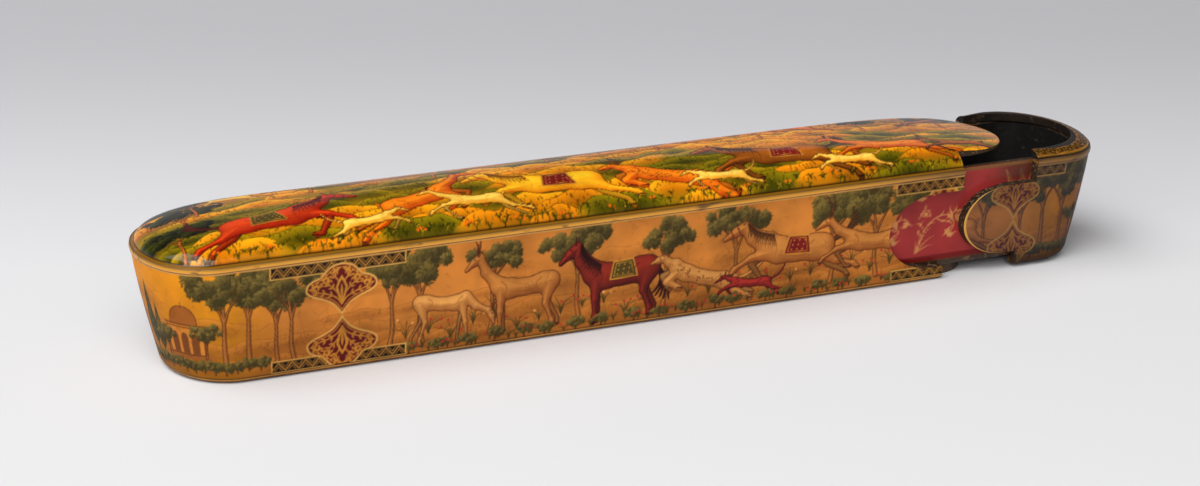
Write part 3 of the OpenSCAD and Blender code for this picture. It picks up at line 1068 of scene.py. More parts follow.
@dataclass(frozen=True)
class DrawerScene(Painting):
    """The crimson wall of the drawer, with gold sprays along it, painted shade and wear near the cap and a
    painted shadow low on it.
    """

    seed: int = 11
    half: float = 126.0
    high: float = 30.0
    crimson: Colour = (156, 48, 47)
    # Painted shade and wear near the cap: the brown that the wall darkens to there.
    cap_shade_and_wear: Colour = (78, 44, 30)
    sprays: int = 17
    first: float = -118.4
    pitch: float = 15.2
    # The dark red line at 5.2 mm is a painted shadow low on the wall, above the case's lower lip.
    borders: tuple = ((5.2, 1.7, (112, 20, 20), 0), (4.2, 0.8, (92, 58, 34), 0),
                      (28.2, 0.9, (122, 82, 44), 0.4))

    def paint(self) -> Canvas:
        """Paints one side of the drawer.

        Returns:
            The canvas, along the drawer and up its wall.
        """
        canvas = Canvas(-self.half, 0, self.half, self.high, self.seed)
        canvas.colour[:] = self.crimson
        canvas.mottle(9, 0.84, 0.32)
        for step in range(self.sprays):
            drift = canvas.chance.random(3) - 0.5
            side = 1 if step % 4 == 1 else -1
            middle = self.first + self.pitch * step
            great = GoldSpray(21.0 + 5.0 * drift[2], 90 + (18 + 16 * drift[1]) * side, side)
            great.paint(canvas, (middle + 4.8 * side + 2.4 * drift[0], 7.4 + 1.6 * drift[1]))
            small = GoldSpray(9.0 + 3.0 * drift[0], -70 - 24 * drift[2], -side, 2)
            small.paint(canvas, (middle + 5.4 * side, 26.6))
        # Painted shade and wear: high on the wall and close to the cap, the crimson darkens to brown.
        along, rise = np.abs(canvas.xs)[None, :], canvas.ys[:, None]
        dulled = unit((along - 78) / 10) * unit((rise - 22.6) / 2.4)
        canvas.lay(np.s_[:, :], 0.8 * dulled, self.cap_shade_and_wear)
        for border in self.borders:
            canvas.rule(*border)
        return canvas


@dataclass(frozen=True)
class BandScene(Painting):
    """The black band of the cap, with a running gold scroll between gold lines."""

    length: float
    seed: int = 13
    wide: float = 4.6
    period: float = 2.7
    middle: float = 2.15

    def paint(self) -> Canvas:
        """Paints the band.

        Returns:
            The canvas, along the band and from its outer to its inner edge.
        """
        canvas = Canvas(0, 0, self.length, self.wide, self.seed)
        canvas.colour[:] = BLACK
        for level, width in ((0.55, 0.3), (0.95, 0.15), (3.4, 0.24)):
            canvas.rule(level, width, GOLD, 0.8)
        bays = round(self.length / self.period)
        for bay in range(bays):
            side = 1 if bay % 2 else -1
            centre = np.array(((bay + 0.5) * (self.length / bays), self.middle))
            coil = [centre + aimed(side * (200 - 46 * k), 1.0 - 0.1 * k) for k in range(9)]
            canvas.stroke(bent(coil, 3), 0.2, GOLD, 0.8, gold=0.8)
            for k in range(7):
                turn = side * (200 - 52 * k)
                leaf = centre + aimed(turn, 1.2 - 0.05 * k)
                canvas.dab(leaf, (0.3, 0.15), turn + 60 * side, GOLD, gold=0.8)
        return canvas


def maths(operation: str, swapped: bool = False) -> Callable[["Wire", "Feed"], "Wire"]:
    """Makes an operator of wires.

    Args:
        operation: What the Math node works out.
        swapped: True for a reflected form, with the wire as the second value.

    Returns:
        The operator.
    """

    def operator(wire: "Wire", other: "Feed") -> "Wire":
        """Adds a Math node on a wire and another value."""
        first, second = (other, wire) if swapped else (wire, other)
        return wire.board.node("ShaderNodeMath", {"operation": operation}, {0: first, 1: second})

    return operator


class Wire:
    """A socket on its way between nodes; Python's operators on it add Math nodes."""

    def __init__(self, board: "Board", socket: Union[bpy.types.NodeSocket, None]) -> None:
        """Wraps a socket of a board's tree."""
        self.board, self.socket = board, socket

    __add__ = __radd__ = maths("ADD")
    __sub__ = maths("SUBTRACT")
    __rsub__ = maths("SUBTRACT", True)
    __mul__ = __rmul__ = maths("MULTIPLY")
    __truediv__ = maths("DIVIDE")
    __gt__ = maths("GREATER_THAN")


Feed = Union[Wire, list[Wire], float, int, bool, str, tuple, Vector, bpy.types.ID, None]


class Board:
    """A node tree, with one method that makes any node in it."""

    def __init__(self, tree: bpy.types.NodeTree) -> None:
        """Takes over a tree and clears it."""
        self.tree = tree
        tree.nodes.clear()

    def node(self, kind: str, settings: Union[dict, None] = None, inputs: Union[dict, None] = None,
             output: Union[int, str] = 0) -> Wire:
        """Makes one node.

        Args:
            kind: The node's type.
            settings: Its properties, set first; stops are the places and colours of a ramp.
            inputs: Values, wires or lists of wires by socket name or number.
            output: The output that is handed on.

        Returns:
            The chosen output, or an empty wire for a node without one.
        """
        made = self.tree.nodes.new(kind)
        for name, value in (settings or {}).items():
            if name == "stops":
                self._stops(made.color_ramp, value)
            else:
                setattr(made, name, value)
        for key, value in (inputs or {}).items():
            if isinstance(value, (Wire, list)):
                for wire in value if isinstance(value, list) else [value]:
                    self.tree.links.new(wire.socket, made.inputs[key])
            else:
                made.inputs[key].default_value = value
        return Wire(self, made.outputs[output] if len(made.outputs) else None)

    @staticmethod
    def _stops(ramp: bpy.types.ColorRamp, stops: Sequence[tuple[float, tuple]]) -> None:
        """Sets the stops of a ramp.

        Args:
            ramp: The ramp of a node.
            stops: Their places and colours.
        """
        while len(ramp.elements) < len(stops):
            ramp.elements.new(0.5)
        for element, (place, colour) in zip(ramp.elements, stops):
            element.position = place
            element.color = colour

    def axis(self, vector: Wire, number: int) -> Wire:
        """One part of a vector: 0, 1 or 2 for X, Y or Z."""
        return self.node("ShaderNodeSeparateXYZ", None, {0: vector}, number)

    def spot(self) -> Wire:
        """Object coordinates."""
        return self.node("ShaderNodeTexCoord", output="Object")

    def tone(self, place: Feed, stops: Sequence[tuple[float, tuple]]) -> Wire:
        """The colour of a ramp at a place."""
        return self.node("ShaderNodeValToRGB", {"stops": stops}, {0: place}, "Color")

    def mix(self, share: Feed, first: Feed, second: Feed, how: str = "MIX") -> Wire:
        """Mixes two colours by a share."""
        settings = {"data_type": "RGBA", "blend_type": how}
        return self.node("ShaderNodeMix", settings, {0: share, 6: first, 7: second}, 2)

    def noise(self, scale: float, detail: float = 3.0, stretch: tuple = (1.0, 1.0, 1.0)) -> Wire:
        """Noise on Object coordinates.

        Args:
            scale: Its scale for each metre.
            detail: Its layers of finer noise.
            stretch: Its share of the scale along each axis.

        Returns:
            The noise, from 0 to 1.
        """
        placed = self.node("ShaderNodeMapping", None, {"Vector": self.spot(), "Scale": stretch})
        return self.node("ShaderNodeTexNoise", None, {
            "Vector": placed, "Scale": scale, "Detail": detail}, "Fac")

    def rise(self, value: Feed, low: float, high: float, start: float = 0.0, end: float = 1.0) -> Wire:
        """A smooth step of a value between two levels."""
        return self.node("ShaderNodeMapRange", {"interpolation_type": "SMOOTHSTEP"}, {
            "Value": value, "From Min": low, "From Max": high, "To Min": start, "To Max": end})

    def bump(self, height: Wire, strength: float, distance: float) -> Wire:
        """The normal of a bumpy surface."""
        return self.node("ShaderNodeBump", None, {
            "Strength": strength, "Distance": distance, "Height": height}, "Normal")


class Finish:
    """A finish that makes its own material."""

    name: str

    def wire(self, board: Board) -> dict:
        """Wires what feeds the finish's shader.

        Args:
            board: The material's nodes.

        Returns:
            The shader's inputs by name.
        """
        raise NotImplementedError

    def material(self) -> Material:
        """Makes the finish's material.

        Returns:
            The material, on one Principled shader.
        """
        made = bpy.data.materials.new(self.name)
        made.use_nodes = True
        board = Board(made.node_tree)
        shader = board.node("ShaderNodeBsdfPrincipled", None, self.wire(board), "BSDF")
        board.node("ShaderNodeOutputMaterial", None, {"Surface": shader})
        return made


@dataclass(frozen=True)
class PaintedLacquer(Finish):
    """Paint and gold leaf under clear lacquer, rubbed and crazed with age."""

    name: str
    coat: float
    coat_roughness: float
    wear: float = 0.3
    stain: Colour = (118, 74, 34)
    rub: Colour = (96, 66, 40)
    crack: Colour = (60, 36, 18)

    def wire(self, board: Board) -> dict:
        """Wires what feeds the lacquer's shader.

        Args:
            board: The material's nodes.

        Returns:
            The shader's inputs by name.
        """
        paint = board.node("ShaderNodeAttribute", {"attribute_name": "paint"}, None, "Color")
        gold = board.node("ShaderNodeAttribute", {"attribute_name": "gold"}, None, "Fac")
        broad, fine = board.noise(55.0, 4.0), board.noise(900.0, 3.0)
        rubbed = board.rise(board.noise(420.0, 6.0), 0.62, 0.72)
        aged = board.mix(board.rise(broad, 0.35, 0.7, 0.0, 0.22), paint, rgba(self.stain), "MULTIPLY")
        worn = board.mix(rubbed * self.wear, aged, rgba(self.rub))
        cracks = board.node("ShaderNodeTexVoronoi", {"feature": "DISTANCE_TO_EDGE"},
                            {"Vector": board.spot(), "Scale": 260.0}, "Distance")
        crazed = board.rise(cracks, 0.0, 0.035, 1.0, 0.0) * board.rise(broad, 0.5, 0.62)
        height = fine * 0.35 + broad * 0.8 + gold * 0.25 - crazed * 0.3
        return {"Base Color": board.mix(crazed * 0.25, worn, rgba(self.crack)),
                "Metallic": gold * (1 - rubbed * 0.6) * 0.75,
                "Roughness": board.rise(fine, 0.3, 0.7, 0.38, 0.52), "Specular IOR Level": 0.0,
                "Coat Weight": self.coat - rubbed * 0.35, "Coat Roughness": self.coat_roughness,
                "Coat IOR": 1.5, "Normal": board.bump(height, 0.12, 0.0004)}


@dataclass(frozen=True)
class WornGilding(Finish):
    """Gold leaf on a bead, with a painted highlight across its middle and painted shade towards its top, a
    dark line low on it, worn through in patches and duller towards the mouth.
    """

    name: str
    low: float
    high: float
    ground: Colour = (70.0, 48.0, 28.0)
    dulled: Colour = (74, 54, 36)
    # Colours up the bead from its foot: a pale line, a dark line, a painted highlight, then painted shade
    # that darkens it towards its top.
    ramp_with_painted_light: tuple = ((0.0, (208, 150, 82)), (0.14, (92, 60, 24)), (0.3, (226, 160, 62)),
                     (0.55, (210, 146, 48)), (0.75, (176, 124, 42)), (1.0, (118, 82, 26)))

    def wire(self, board: Board) -> dict:
        """Wires what feeds the gilding's shader.

        Args:
            board: The material's nodes.

        Returns:
            The shader's inputs by name.
        """
        spot = board.spot()
        up = (board.axis(spot, 2) - self.low * MM) / ((self.high - self.low) * MM)
        # The tint carries the painted highlight and painted shade by height.
        tint = board.tone(up, [(place, rgba(colour)) for place, colour in self.ramp_with_painted_light])
        dull = board.rise(board.axis(spot, 0), 0.05, 0.10, 0.0, 0.75)
        patch = board.noise(330.0, 6.0, (0.4, 1.0, 1.6))
        bare = board.rise(patch, 0.56, 0.68)
        aged = board.mix(dull, tint, rgba(self.dulled))
        return {"Base Color": board.mix(bare * 0.8, aged, rgba(self.ground)), "Metallic": 0.3 - bare * 0.25,
                "Roughness": board.rise(patch, 0.3, 0.7, 0.34, 0.6), "Specular IOR Level": 0.2,
                "Coat Weight": 0.3, "Coat Roughness": 0.2,
                "Normal": board.bump(board.noise(1400.0, 4.0) - bare * 0.5, 0.25, 0.0003)}


@dataclass(frozen=True)
class AgedPaint(Finish):
    """One worn colour with pale chips and specks, for cut edges, boards and the lining."""

    name: str
    colour: Colour
    chip: Colour
    chips: float
    roughness: float = 0.7
    coat: float = 0.0
    grain: float = 700.0

    def wire(self, board: Board) -> dict:
        """Wires what feeds the paint's shader.

        Args:
            board: The material's nodes.

        Returns:
            The shader's inputs by name.
        """
        patch, grain = board.noise(120.0, 5.0), board.noise(self.grain, 6.0)
        bare = board.rise(grain + patch * 0.4, 0.78 - 0.14 * self.chips, 0.92 - 0.14 * self.chips)
        toned = board.mix(board.rise(patch, 0.3, 0.7), rgba(self.colour),
                          rgba(tuple(part * 0.62 for part in self.colour)))
        return {"Base Color": board.mix(bare, toned, rgba(self.chip)),
                "Roughness": board.rise(patch, 0.3, 0.7, self.roughness - 0.12, self.roughness + 0.12),
                "Specular IOR Level": 0.15, "Coat Weight": self.coat, "Coat Roughness": 0.25,
                "Normal": board.bump(grain + patch * 0.6, 0.5, 0.0004)}


@dataclass(frozen=True)
class PaleFloor(Finish):
    """The pale studio floor, with painted shade that greys it towards the back of a view from an azimuth."""

    name: str
    azimuth: float
    ramp_with_painted_light: tuple = ((0.0, (0.76, 0.76, 0.765, 1)), (0.36, (0.76, 0.76, 0.77, 1)),
                     (0.6, (0.69, 0.69, 0.71, 1)), (1.0, (0.55, 0.55, 0.57, 1)))

    def wire(self, board: Board) -> dict:
        """Wires what feeds the floor's shader.

        Args:
            board: The material's nodes.

        Returns:
            The shader's inputs by name.
        """
        turned = board.node("ShaderNodeMapping", None, {
            "Vector": board.spot(), "Rotation": (0.0, 0.0, -math.radians(self.azimuth))})
        # Painted shade: the floor's colour greys towards the back of the view.
        tone = board.tone(board.rise(board.axis(turned, 1), -0.16, 0.30), self.ramp_with_painted_light)
        return {"Base Color": tone, "Roughness": 0.9, "Specular IOR Level": 0.1}


@dataclass
class BoxForm:
    """The shape of the closed pen box, in millimetres, from the part's own sizes."""

    length: float = 231.4
    rim_width: float = 41.0
    base_width: float = 36.8
    rim_height: float = 29.2
    end_reach: float = 14.5
    end_slope: float = 5.7
    end_bend: float = 1.3
    edge_round: float = 2.0
    wall: float = 2.5
    board: float = 2.4
    bead_height: float = 1.4
    bead_swell: float = 0.3
    bead_fillet: float = 0.13
    ledge: float = 1.0
    ledge_rise: float = 0.4
    dome_height: float = 7.8
    dome_skin: float = 1.5
    dome_bend: float = 1.4
    dome_stop: float = 86.0
    closed_fall: float = 70.0
    mouth_fall: float = 140.0
    band_rise: float = 1.9
    upper_shoulder: float = 23.8
    lower_shoulder: float = 28.1
    hollow_depth: float = 20.6
    hollow_round: float = 12.5
    hollow_height: float = 19.9
    hollow_middle: float = 13.7
    tongue_width: float = 33.0
    tongue_inset: float = 4.5
    tongue_round: float = 15.5
    slide_gap: float = 0.3
    mouth_gap: float = 0.3
    tongue_lift: float = 0.9
    foot_lift: float = 0.8
    drawer_board: float = 1.6
    floor_board: float = 1.6
    drawer_drop: float = 0.5
    end_gap: float = 1.0
    end_steps: int = 400
    bead_turns: int = 121
    dome_halvings: int = 32

    def __post_init__(self) -> None:
        """Works out the sizes that follow from the others, and how far the drawer is out at rest."""
        self.tip = self.length / 2
        self.rim_half = self.rim_width / 2
        self.wall_top = self.rim_height - self.bead_height
        self.dome_foot = self.rim_height + self.ledge_rise
        self.drawer_face = self.wall + self.slide_gap
        self.floor_bottom = self.board + self.slide_gap
        self.upper_x = self.tip - self.upper_shoulder
        self.lower_x = self.tip - self.lower_shoulder
        self.hollow_x = self.upper_x - self.hollow_depth + self.hollow_round
        self.hollow_low = self.hollow_middle - self.hollow_height / 2
        self.hollow_high = self.hollow_middle + self.hollow_height / 2
        self.drawn_out = -frame["record"]["behaviour"]["joints"][0]["range_m"][0] / MM
        turns = np.linspace(0.0, QUARTER, self.end_steps)
        middle = self.end_slope * 0.5 ** self.end_bend
        steps = np.hypot(np.diff(self.end_reach * np.cos(turns)), np.diff(self.rim_half * np.sin(turns)))
        self.end_turns = turns
        self.end_run = np.concatenate(([0.0], np.cumsum(steps)))
        self.run_tip = self.tip - middle - self.end_reach + self.end_run[-1]

    def half_at(self, z: Number, d: Number) -> Number:
        """Half the width at a height and a depth inside the face."""
        base = self.base_width / 2
        return base + (self.rim_half - base) * z / self.rim_height - d

    def straight_at(self, z: Number, d: Number) -> Number:
        """Where the straight sides end at a height and a depth, from the middle of the box."""
        drawn = self.end_slope * np.maximum(0.0, 1 - z / self.rim_height) ** self.end_bend
        return self.tip - drawn - d - (self.end_reach - d)

    def edge_in(self, z: Array, radius: float) -> Array:
        """How far a rounded lower edge draws in at a height above its foot."""
        up = np.clip(radius - np.asarray(z, float), 0.0, radius)
        return radius - np.sqrt(radius ** 2 - up ** 2)

    def end_point(self, angle: Array, z: Number, d: Number) -> tuple[Array, Array]:
        """A round end's places along and across, by angle from the tip, height and depth."""
        along = self.straight_at(z, d) + (self.end_reach - d) * np.cos(angle)
        return along, self.half_at(z, d) * np.sin(angle)

    def unrolled(self, points: Array) -> Array:
        """The place along a side of points on the box's face, with the ends rolled out flat.

        Args:
            points: The points, x, y and z last.

        Returns:
            The places.
        """
        x, y, z = (points[..., k] for k in range(3))
        straight = self.straight_at(z, 0.0)
        angle = np.arctan2(np.abs(y) / self.half_at(z, 0.0), (np.abs(x) - straight) / self.end_reach)
        share = 1 - np.interp(angle, self.end_turns, self.end_run) / self.end_run[-1]
        rolled = straight + share * (self.run_tip - straight)
        return np.sign(x) * np.where(np.abs(x) <= straight, np.abs(x), rolled)

    def dome_z(self, x: Array, y: Array, s: float) -> Array:
        """The height of the domed top over places in plan.

        Args:
            x: Places along the box.
            y: Places across it.
            s: The depth below the outer face.

        Returns:
            The heights.
        """
        foot = self.ledge + s
        low = np.zeros(x.shape)
        high = np.full(x.shape, math.radians(self.dome_stop))
        for _ in range(self.dome_halvings):
            t = (low + high) / 2
            keep = np.cos(t)
            fall = (1 - keep) ** self.dome_bend
            reach = (self.end_reach - foot) * keep
            left = -self.tip + foot + (self.closed_fall - s) * fall + reach
            right = self.tip - foot - (self.mouth_fall - s) * fall - reach
            beyond = np.maximum(np.maximum(left - x, x - right), 0.0) / reach
            outside = beyond ** 2 + (y / ((self.rim_half - foot) * keep)) ** 2 > 1
            high = np.where(outside, t, high)
            low = np.where(outside, low, t)
        return self.dome_foot + (self.dome_height - s) * np.sin(low) ** self.dome_bend

    def bead_sizes(self, depth: float) -> dict[str, float]:
        """The sizes of a bead that is as deep as the wall it covers."""
        return {"Height": self.bead_height, "Swell": self.bead_swell, "Depth": depth,
                "Fillet": self.bead_fillet}

    def bead_path(self, start: float, count: int, side: int) -> Array:
        """The middle of a bead: along the front, round one end and along the back.

        Args:
            start: Where its straight runs begin.
            count: The points of a straight run.
            side: 1 for the mouth's end, or -1 for the closed one.

        Returns:
            Rows of x, y and z.
        """
        z = self.wall_top + self.bead_height / 2
        x, y = self.end_point(np.linspace(-QUARTER, QUARTER, self.bead_turns), z, 0.0)
        run = np.linspace(start, side * self.straight_at(z, 0.0), count)[:-1]
        half = np.full(len(run), self.half_at(z, 0.0))
        path = np.vstack((np.column_stack((run, -half)), np.column_stack((side * x, y)),
                          np.column_stack((run[::-1], half))))
        return np.column_stack((path, np.full(len(path), z)))


def stretches(*counts: int) -> Array:
    """Evenly spaced places over stretches of one unit each, with a count of steps for each."""
    parts = [number + np.arange(count) / count for number, count in enumerate(counts)]
    return np.concatenate(parts + [np.array([float(len(counts))])])


def routed(u: Array, *legs: tuple[Number, Number], first: int = 0) -> Array:
    """Places that run evenly along legs, one unit of u each.

    Args:
        u: Places along the route.
        legs: The start and the end of each leg.
        first: The u at which the first leg starts.

    Returns:
        The places.
    """
    places = None
    for number, (start, end) in enumerate(legs, first):
        leg = start + (end - start) * (u - number)
        places = leg if places is None else np.where(u > number, leg, places)
    return places


def cells(rows: int, columns: int, over: bool = False, round_: bool = False) -> Array:
    """Numbers the corners of the cells of a grid of points.

    Args:
        rows: The grid's rows.
        columns: Its columns.
        over: True if the last row joins the first.
        round_: True if the last column joins the first.

    Returns:
        Four corners for each cell, by row and column.
    """
    index = np.arange(rows * columns).reshape(rows, columns)
    if over:
        index = np.vstack((index, index[:1]))
    if round_:
        index = np.hstack((index, index[:, :1]))
    return np.stack((index[:-1, :-1], index[:-1, 1:], index[1:, 1:], index[1:, :-1]), -1)


@dataclass
class Sheet:
    """A grid of points over a surface, with its cells that are kept and the places of its points."""

    points: Array
    u: Array
    v: Array
    keep: Array

    def faces(self) -> Array:
        """The kept cells as four-cornered faces."""
        return cells(*self.points.shape[:2])[self.keep]

    def hem(self) -> tuple[Array, Array]:
        """Follows the edge of the sheet once round.

        Returns:
            The edge's points in order, and the way run before each, with the whole way last.
        """
        quads = self.faces()
        edges = np.stack((quads, np.roll(quads, -1, 1)), -1).reshape(-1, 2)
        count = self.points.shape[0] * self.points.shape[1]
        lone = edges[~np.isin(edges[:, 0] * count + edges[:, 1], edges[:, 1] * count + edges[:, 0])]
        follow = dict(lone.tolist())
        u = np.broadcast_to(self.u[None, :], self.points.shape[:2]).ravel()
        v = np.broadcast_to(self.v[:, None], self.points.shape[:2]).ravel()
        start = min(follow, key=lambda spot: u[spot] + 1.01 * v[spot])
        order = [start]
        while follow[order[-1]] != start:
            order.append(follow[order[-1]])
        ring = np.array(order)
        ends = np.roll(ring, -1)
        run = np.hypot(u[ends] - u[ring], v[ends] - v[ring])
        return ring, np.concatenate(([0.0], np.cumsum(run)))


def laced(outer: Sheet, inner: Sheet, shift: int) -> Array:
    """Closes the gap between the edges of two sheets.

    Args:
        outer: The sheet whose faces look outwards.
        inner: The sheet behind it.
        shift: The number of the inner sheet's first point.

    Returns:
        Three-cornered faces.
    """
    (a, way_a), (b, way_b) = outer.hem(), inner.hem()
    b = b + shift
    faces, i, j = [], 0, 0
    while i < len(a) or j < len(b):
        if j == len(b) or (i < len(a) and way_a[i + 1] <= way_b[j + 1]):
            faces.append((a[(i + 1) % len(a)], a[i], b[j % len(b)]))
            i += 1
        else:
            faces.append((a[i % len(a)], b[j], b[(j + 1) % len(b)]))
            j += 1
    return np.array(faces)


def linked(name: str, data: bpy.types.ID) -> bpy.types.Object:
    """Puts data in the scene as an object.

    Args:
        name: The object's name.
        data: Its mesh, lamp or camera.

    Returns:
        The object.
    """
    made = bpy.data.objects.new(name, data)
    bpy.context.scene.collection.objects.link(made)
    return made


@dataclass
class Piece:
    """A piece's points, its groups of faces with their material and smoothness, and its paint."""

    name: str
    points: Array
    groups: Sequence[tuple[Array, int, bool]]
    materials: Sequence[Material]
    paint: Array
    gold: Array

    def make(self) -> bpy.types.Object:
        """Makes the object.

        Returns:
            The object, at the origin, with its place in its mesh.
        """
        mesh = bpy.data.meshes.new(self.name)
        corners = np.concatenate([faces.ravel() for faces, _, _ in self.groups])
        sizes, marks, smooth = (np.concatenate(parts) for parts in zip(*(
            [np.full(len(faces), value) for value in (faces.shape[1], mark, soft)]
            for faces, mark, soft in self.groups)))
        mesh.vertices.add(len(self.points))
        mesh.vertices.foreach_set("co", (self.points * MM).ravel())
        mesh.loops.add(len(corners))
        mesh.loops.foreach_set("vertex_index", corners)
        mesh.polygons.add(len(sizes))
        mesh.polygons.foreach_set("loop_start", np.concatenate(([0], np.cumsum(sizes)[:-1])))
        for material in self.materials:
            mesh.materials.append(material)
        mesh.polygons.foreach_set("material_index", marks)
        mesh.polygons.foreach_set("use_smooth", smooth)
        colours = np.column_stack((self.paint.reshape(-1, 3), np.ones(len(self.points))))
        mesh.attributes.new("paint", "FLOAT_COLOR", "POINT").data.foreach_set("color", colours.ravel())
        mesh.attributes.new("gold", "FLOAT", "POINT").data.foreach_set("value", self.gold.ravel())
        mesh.update(calc_edges=True)
        mesh.validate()
        LOG.info("%s: %d faces", self.name, len(mesh.polygons))
        return linked(self.name, mesh)


def shell(name: str, outer: Sheet, inner: Sheet, paint: Array, gold: Array,
          materials: Sequence[Material]) -> bpy.types.Object:
    """Makes a closed shell of a painted sheet, a plain sheet behind it and the cut edge between.

    Args:
        name: The piece's name.
        outer: The painted sheet.
        inner: The sheet behind it.
        paint: The outer points' colours.
        gold: The outer points' share of gold.
        materials: The finishes of the face, the cut edge and the back.

    Returns:
        The piece.
    """
    front, back = outer.points.reshape(-1, 3), inner.points.reshape(-1, 3)
    groups = [(outer.faces(), 0, True), (laced(outer, inner, len(front)), 1, False),
              (inner.faces()[:, ::-1] + len(front), 2, True)]
    points = np.vstack((front, back))
    used = np.zeros(len(points), bool)
    for faces, _, _ in groups:
        used[faces.ravel()] = True
    number = np.cumsum(used) - 1
    groups = [(number[faces], mark, soft) for faces, mark, soft in groups]
    colours = np.vstack((paint.reshape(-1, 3), np.zeros((len(back), 3))))[used]
    shares = np.concatenate((gold.ravel(), np.zeros(len(back))))[used]
    return Piece(name, points[used], groups, materials, colours, shares).make()


class Sweep:
    """A Geometry Nodes tree that sweeps a half-round bead, with a fine fillet on each side, along a path."""

    BEAD_STEPS, THREAD_STEPS = 32, 10
    GROOVES, GROOVE_DEPTH = 7.0, 0.10
    THREAD_OUT = 0.12

    def __init__(self, name: str, material: Material) -> None:
        """Builds the tree.

        Args:
            name: The tree's name.
            material: The bead's finish.
        """
        self.tree = bpy.data.node_groups.new(name, "GeometryNodeTree")
        face = self.tree.interface
        face.new_socket("Geometry", in_out="INPUT", socket_type="NodeSocketGeometry")
        self.sizes = {}
        for label in ("Height", "Swell", "Depth", "Fillet"):
            socket = face.new_socket(label, in_out="INPUT", socket_type="NodeSocketFloat")
            self.sizes[label] = socket.identifier
        face.new_socket("Geometry", in_out="OUTPUT", socket_type="NodeSocketGeometry")
        board = self.board = Board(self.tree)
        self.given = {label: board.node("NodeGroupInput", output=label) for label in self.sizes}
        guide = board.node("NodeGroupInput", output="Geometry")
        path = board.node("GeometryNodeMeshToCurve", None, {"Mesh": guide})
        path = board.node("GeometryNodeSetCurveNormal", {"mode": "Z_UP"}, {"Curve": path})
        profiles = [self._thread(1.0), self._thread(-1.0), self._bead()]
        strands = [board.node("GeometryNodeCurveToMesh", None, {
            "Curve": path, "Profile Curve": profile, "Fill Caps": True}) for profile in profiles]
        joined = board.node("GeometryNodeJoinGeometry", None, {0: strands})
        whole = board.node("GeometryNodeRealizeInstances", None, {"Geometry": joined})
        smooth = board.node("GeometryNodeSetShadeSmooth", None, {"Geometry": whole})
        dressed = board.node("GeometryNodeSetMaterial", None, {"Geometry": smooth, "Material": material})
        board.node("NodeGroupOutput", None, {0: dressed})

    def _ring(self, steps: int, radius: Feed) -> Wire:
        """A circle of a number of steps."""
        return self.board.node("GeometryNodeCurvePrimitiveCircle", {"mode": "RADIUS"},
                               {"Resolution": steps, "Radius": radius})

    def _bead(self) -> Wire:
        """Makes the bead's profile.

        Returns:
            A grooved swell in front, and a plain half round as deep as the wall behind.
        """
        board, size = self.board, self.given
        spot = board.node("GeometryNodeInputPosition")
        across, up = board.axis(spot, 0), board.axis(spot, 1)
        out = across > 0.0
        wide = size["Swell"] * out + size["Depth"] * (1 - out)
        groove = board.node("ShaderNodeMath", {"operation": "COSINE"}, {0: up * self.GROOVES})
        placed = board.node("ShaderNodeCombineXYZ", None, {
            0: across * wide * (1 + groove * self.GROOVE_DEPTH * out), 1: up * size["Height"] * 0.5})
        return board.node("GeometryNodeSetPosition", None, {
            "Geometry": self._ring(self.BEAD_STEPS, 1.0), "Position": placed})

    def _thread(self, side: float) -> Wire:
        """Makes the profile of a fine fillet.

        Args:
            side: 1 for the fillet above the bead, or -1 for the one below.

        Returns:
            The profile.
        """
        board, size = self.board, self.given
        lift = board.node("ShaderNodeCombineXYZ", None, {
            0: size["Swell"] * self.THREAD_OUT, 1: size["Height"] * 0.5 * side})
        return board.node("GeometryNodeTransform", None, {
            "Geometry": self._ring(self.THREAD_STEPS, size["Fillet"]), "Translation": lift})

    def along(self, name: str, path: Array, sizes: dict[str, float]) -> bpy.types.Object:
        """Sweeps the bead along a path.

        Args:
            name: The piece's name.
            path: The path's points, in millimetres.
            sizes: The tree's inputs, in millimetres.

        Returns:
            The bead as a plain mesh.
        """
        line = bpy.data.meshes.new(name + "_path")
        steps = np.arange(len(path) - 1)
        line.from_pydata((path * MM).tolist(), np.column_stack((steps, steps + 1)).tolist(), [])
        guide = linked(name + "_path", line)
        modifier = guide.modifiers.new(name, "NODES")
        modifier.node_group = self.tree
        for label, value in sizes.items():
            modifier[self.sizes[label]] = value * MM
        bpy.context.view_layer.update()
        evaluated = guide.evaluated_get(bpy.context.evaluated_depsgraph_get())
        mesh = bpy.data.meshes.new_from_object(evaluated)
        mesh.name = name
        guide.modifiers.remove(modifier)
        bpy.data.objects.remove(guide)
        LOG.info("%s: %d faces", name, len(mesh.polygons))
        return linked(name, mesh)


@dataclass
class Paints:
    """The finished paintings that the pieces take their colours from."""

    front: Canvas
    back: Canvas
    top: Canvas
    drawer: Canvas

    def side(self, form: BoxForm, points: Array) -> tuple[Array, Array]:
        """The colours and gold of points on the closed box's side.

        Args:
            form: The box's shape.
            points: The points, with the drawer pushed in.

        Returns:
            Linear colours and the share of gold.
        """
        run, z = form.unrolled(points), points[..., 2]
        near, near_gold = self.front.sample(run, z)
        far, far_gold = self.back.sample(-run, z)
        behind = points[..., 1] > 0
        return np.where(behind[..., None], far, near), np.where(behind, far_gold, near_gold)


@dataclass
class Dress:
    """The materials of all finishes."""

    wall: Material
    top: Material
    crimson: Material
    band: Material
    gilding: Material
    edge: Material
    inside: Material
    lining: Material
    base: Material


@dataclass
class Assembly:
    """A sub-assembly of the box, with what all of them share."""

    form: BoxForm
    dress: Dress
    paints: Paints
    sweep: Sweep

    def clothe(self, node: str, material: Material) -> None:
        """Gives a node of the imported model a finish.

        Args:
            node: The node's name.
            material: Its finish.
        """
        slots = frame["nodes"][node].data.materials
        slots.clear()
        slots.append(material)

    @staticmethod
    def plain_up() -> Array:
        """Places up the plain back of a wall, closer over the rounded lower edge."""
        return np.concatenate(([0.0, 0.4, 0.75, 0.99], 1 + stretches(2, 14, 3)))

    @staticmethod
    def middles(places: Array) -> Array:
        """The middles between places."""
        return (places[1:] + places[:-1]) / 2


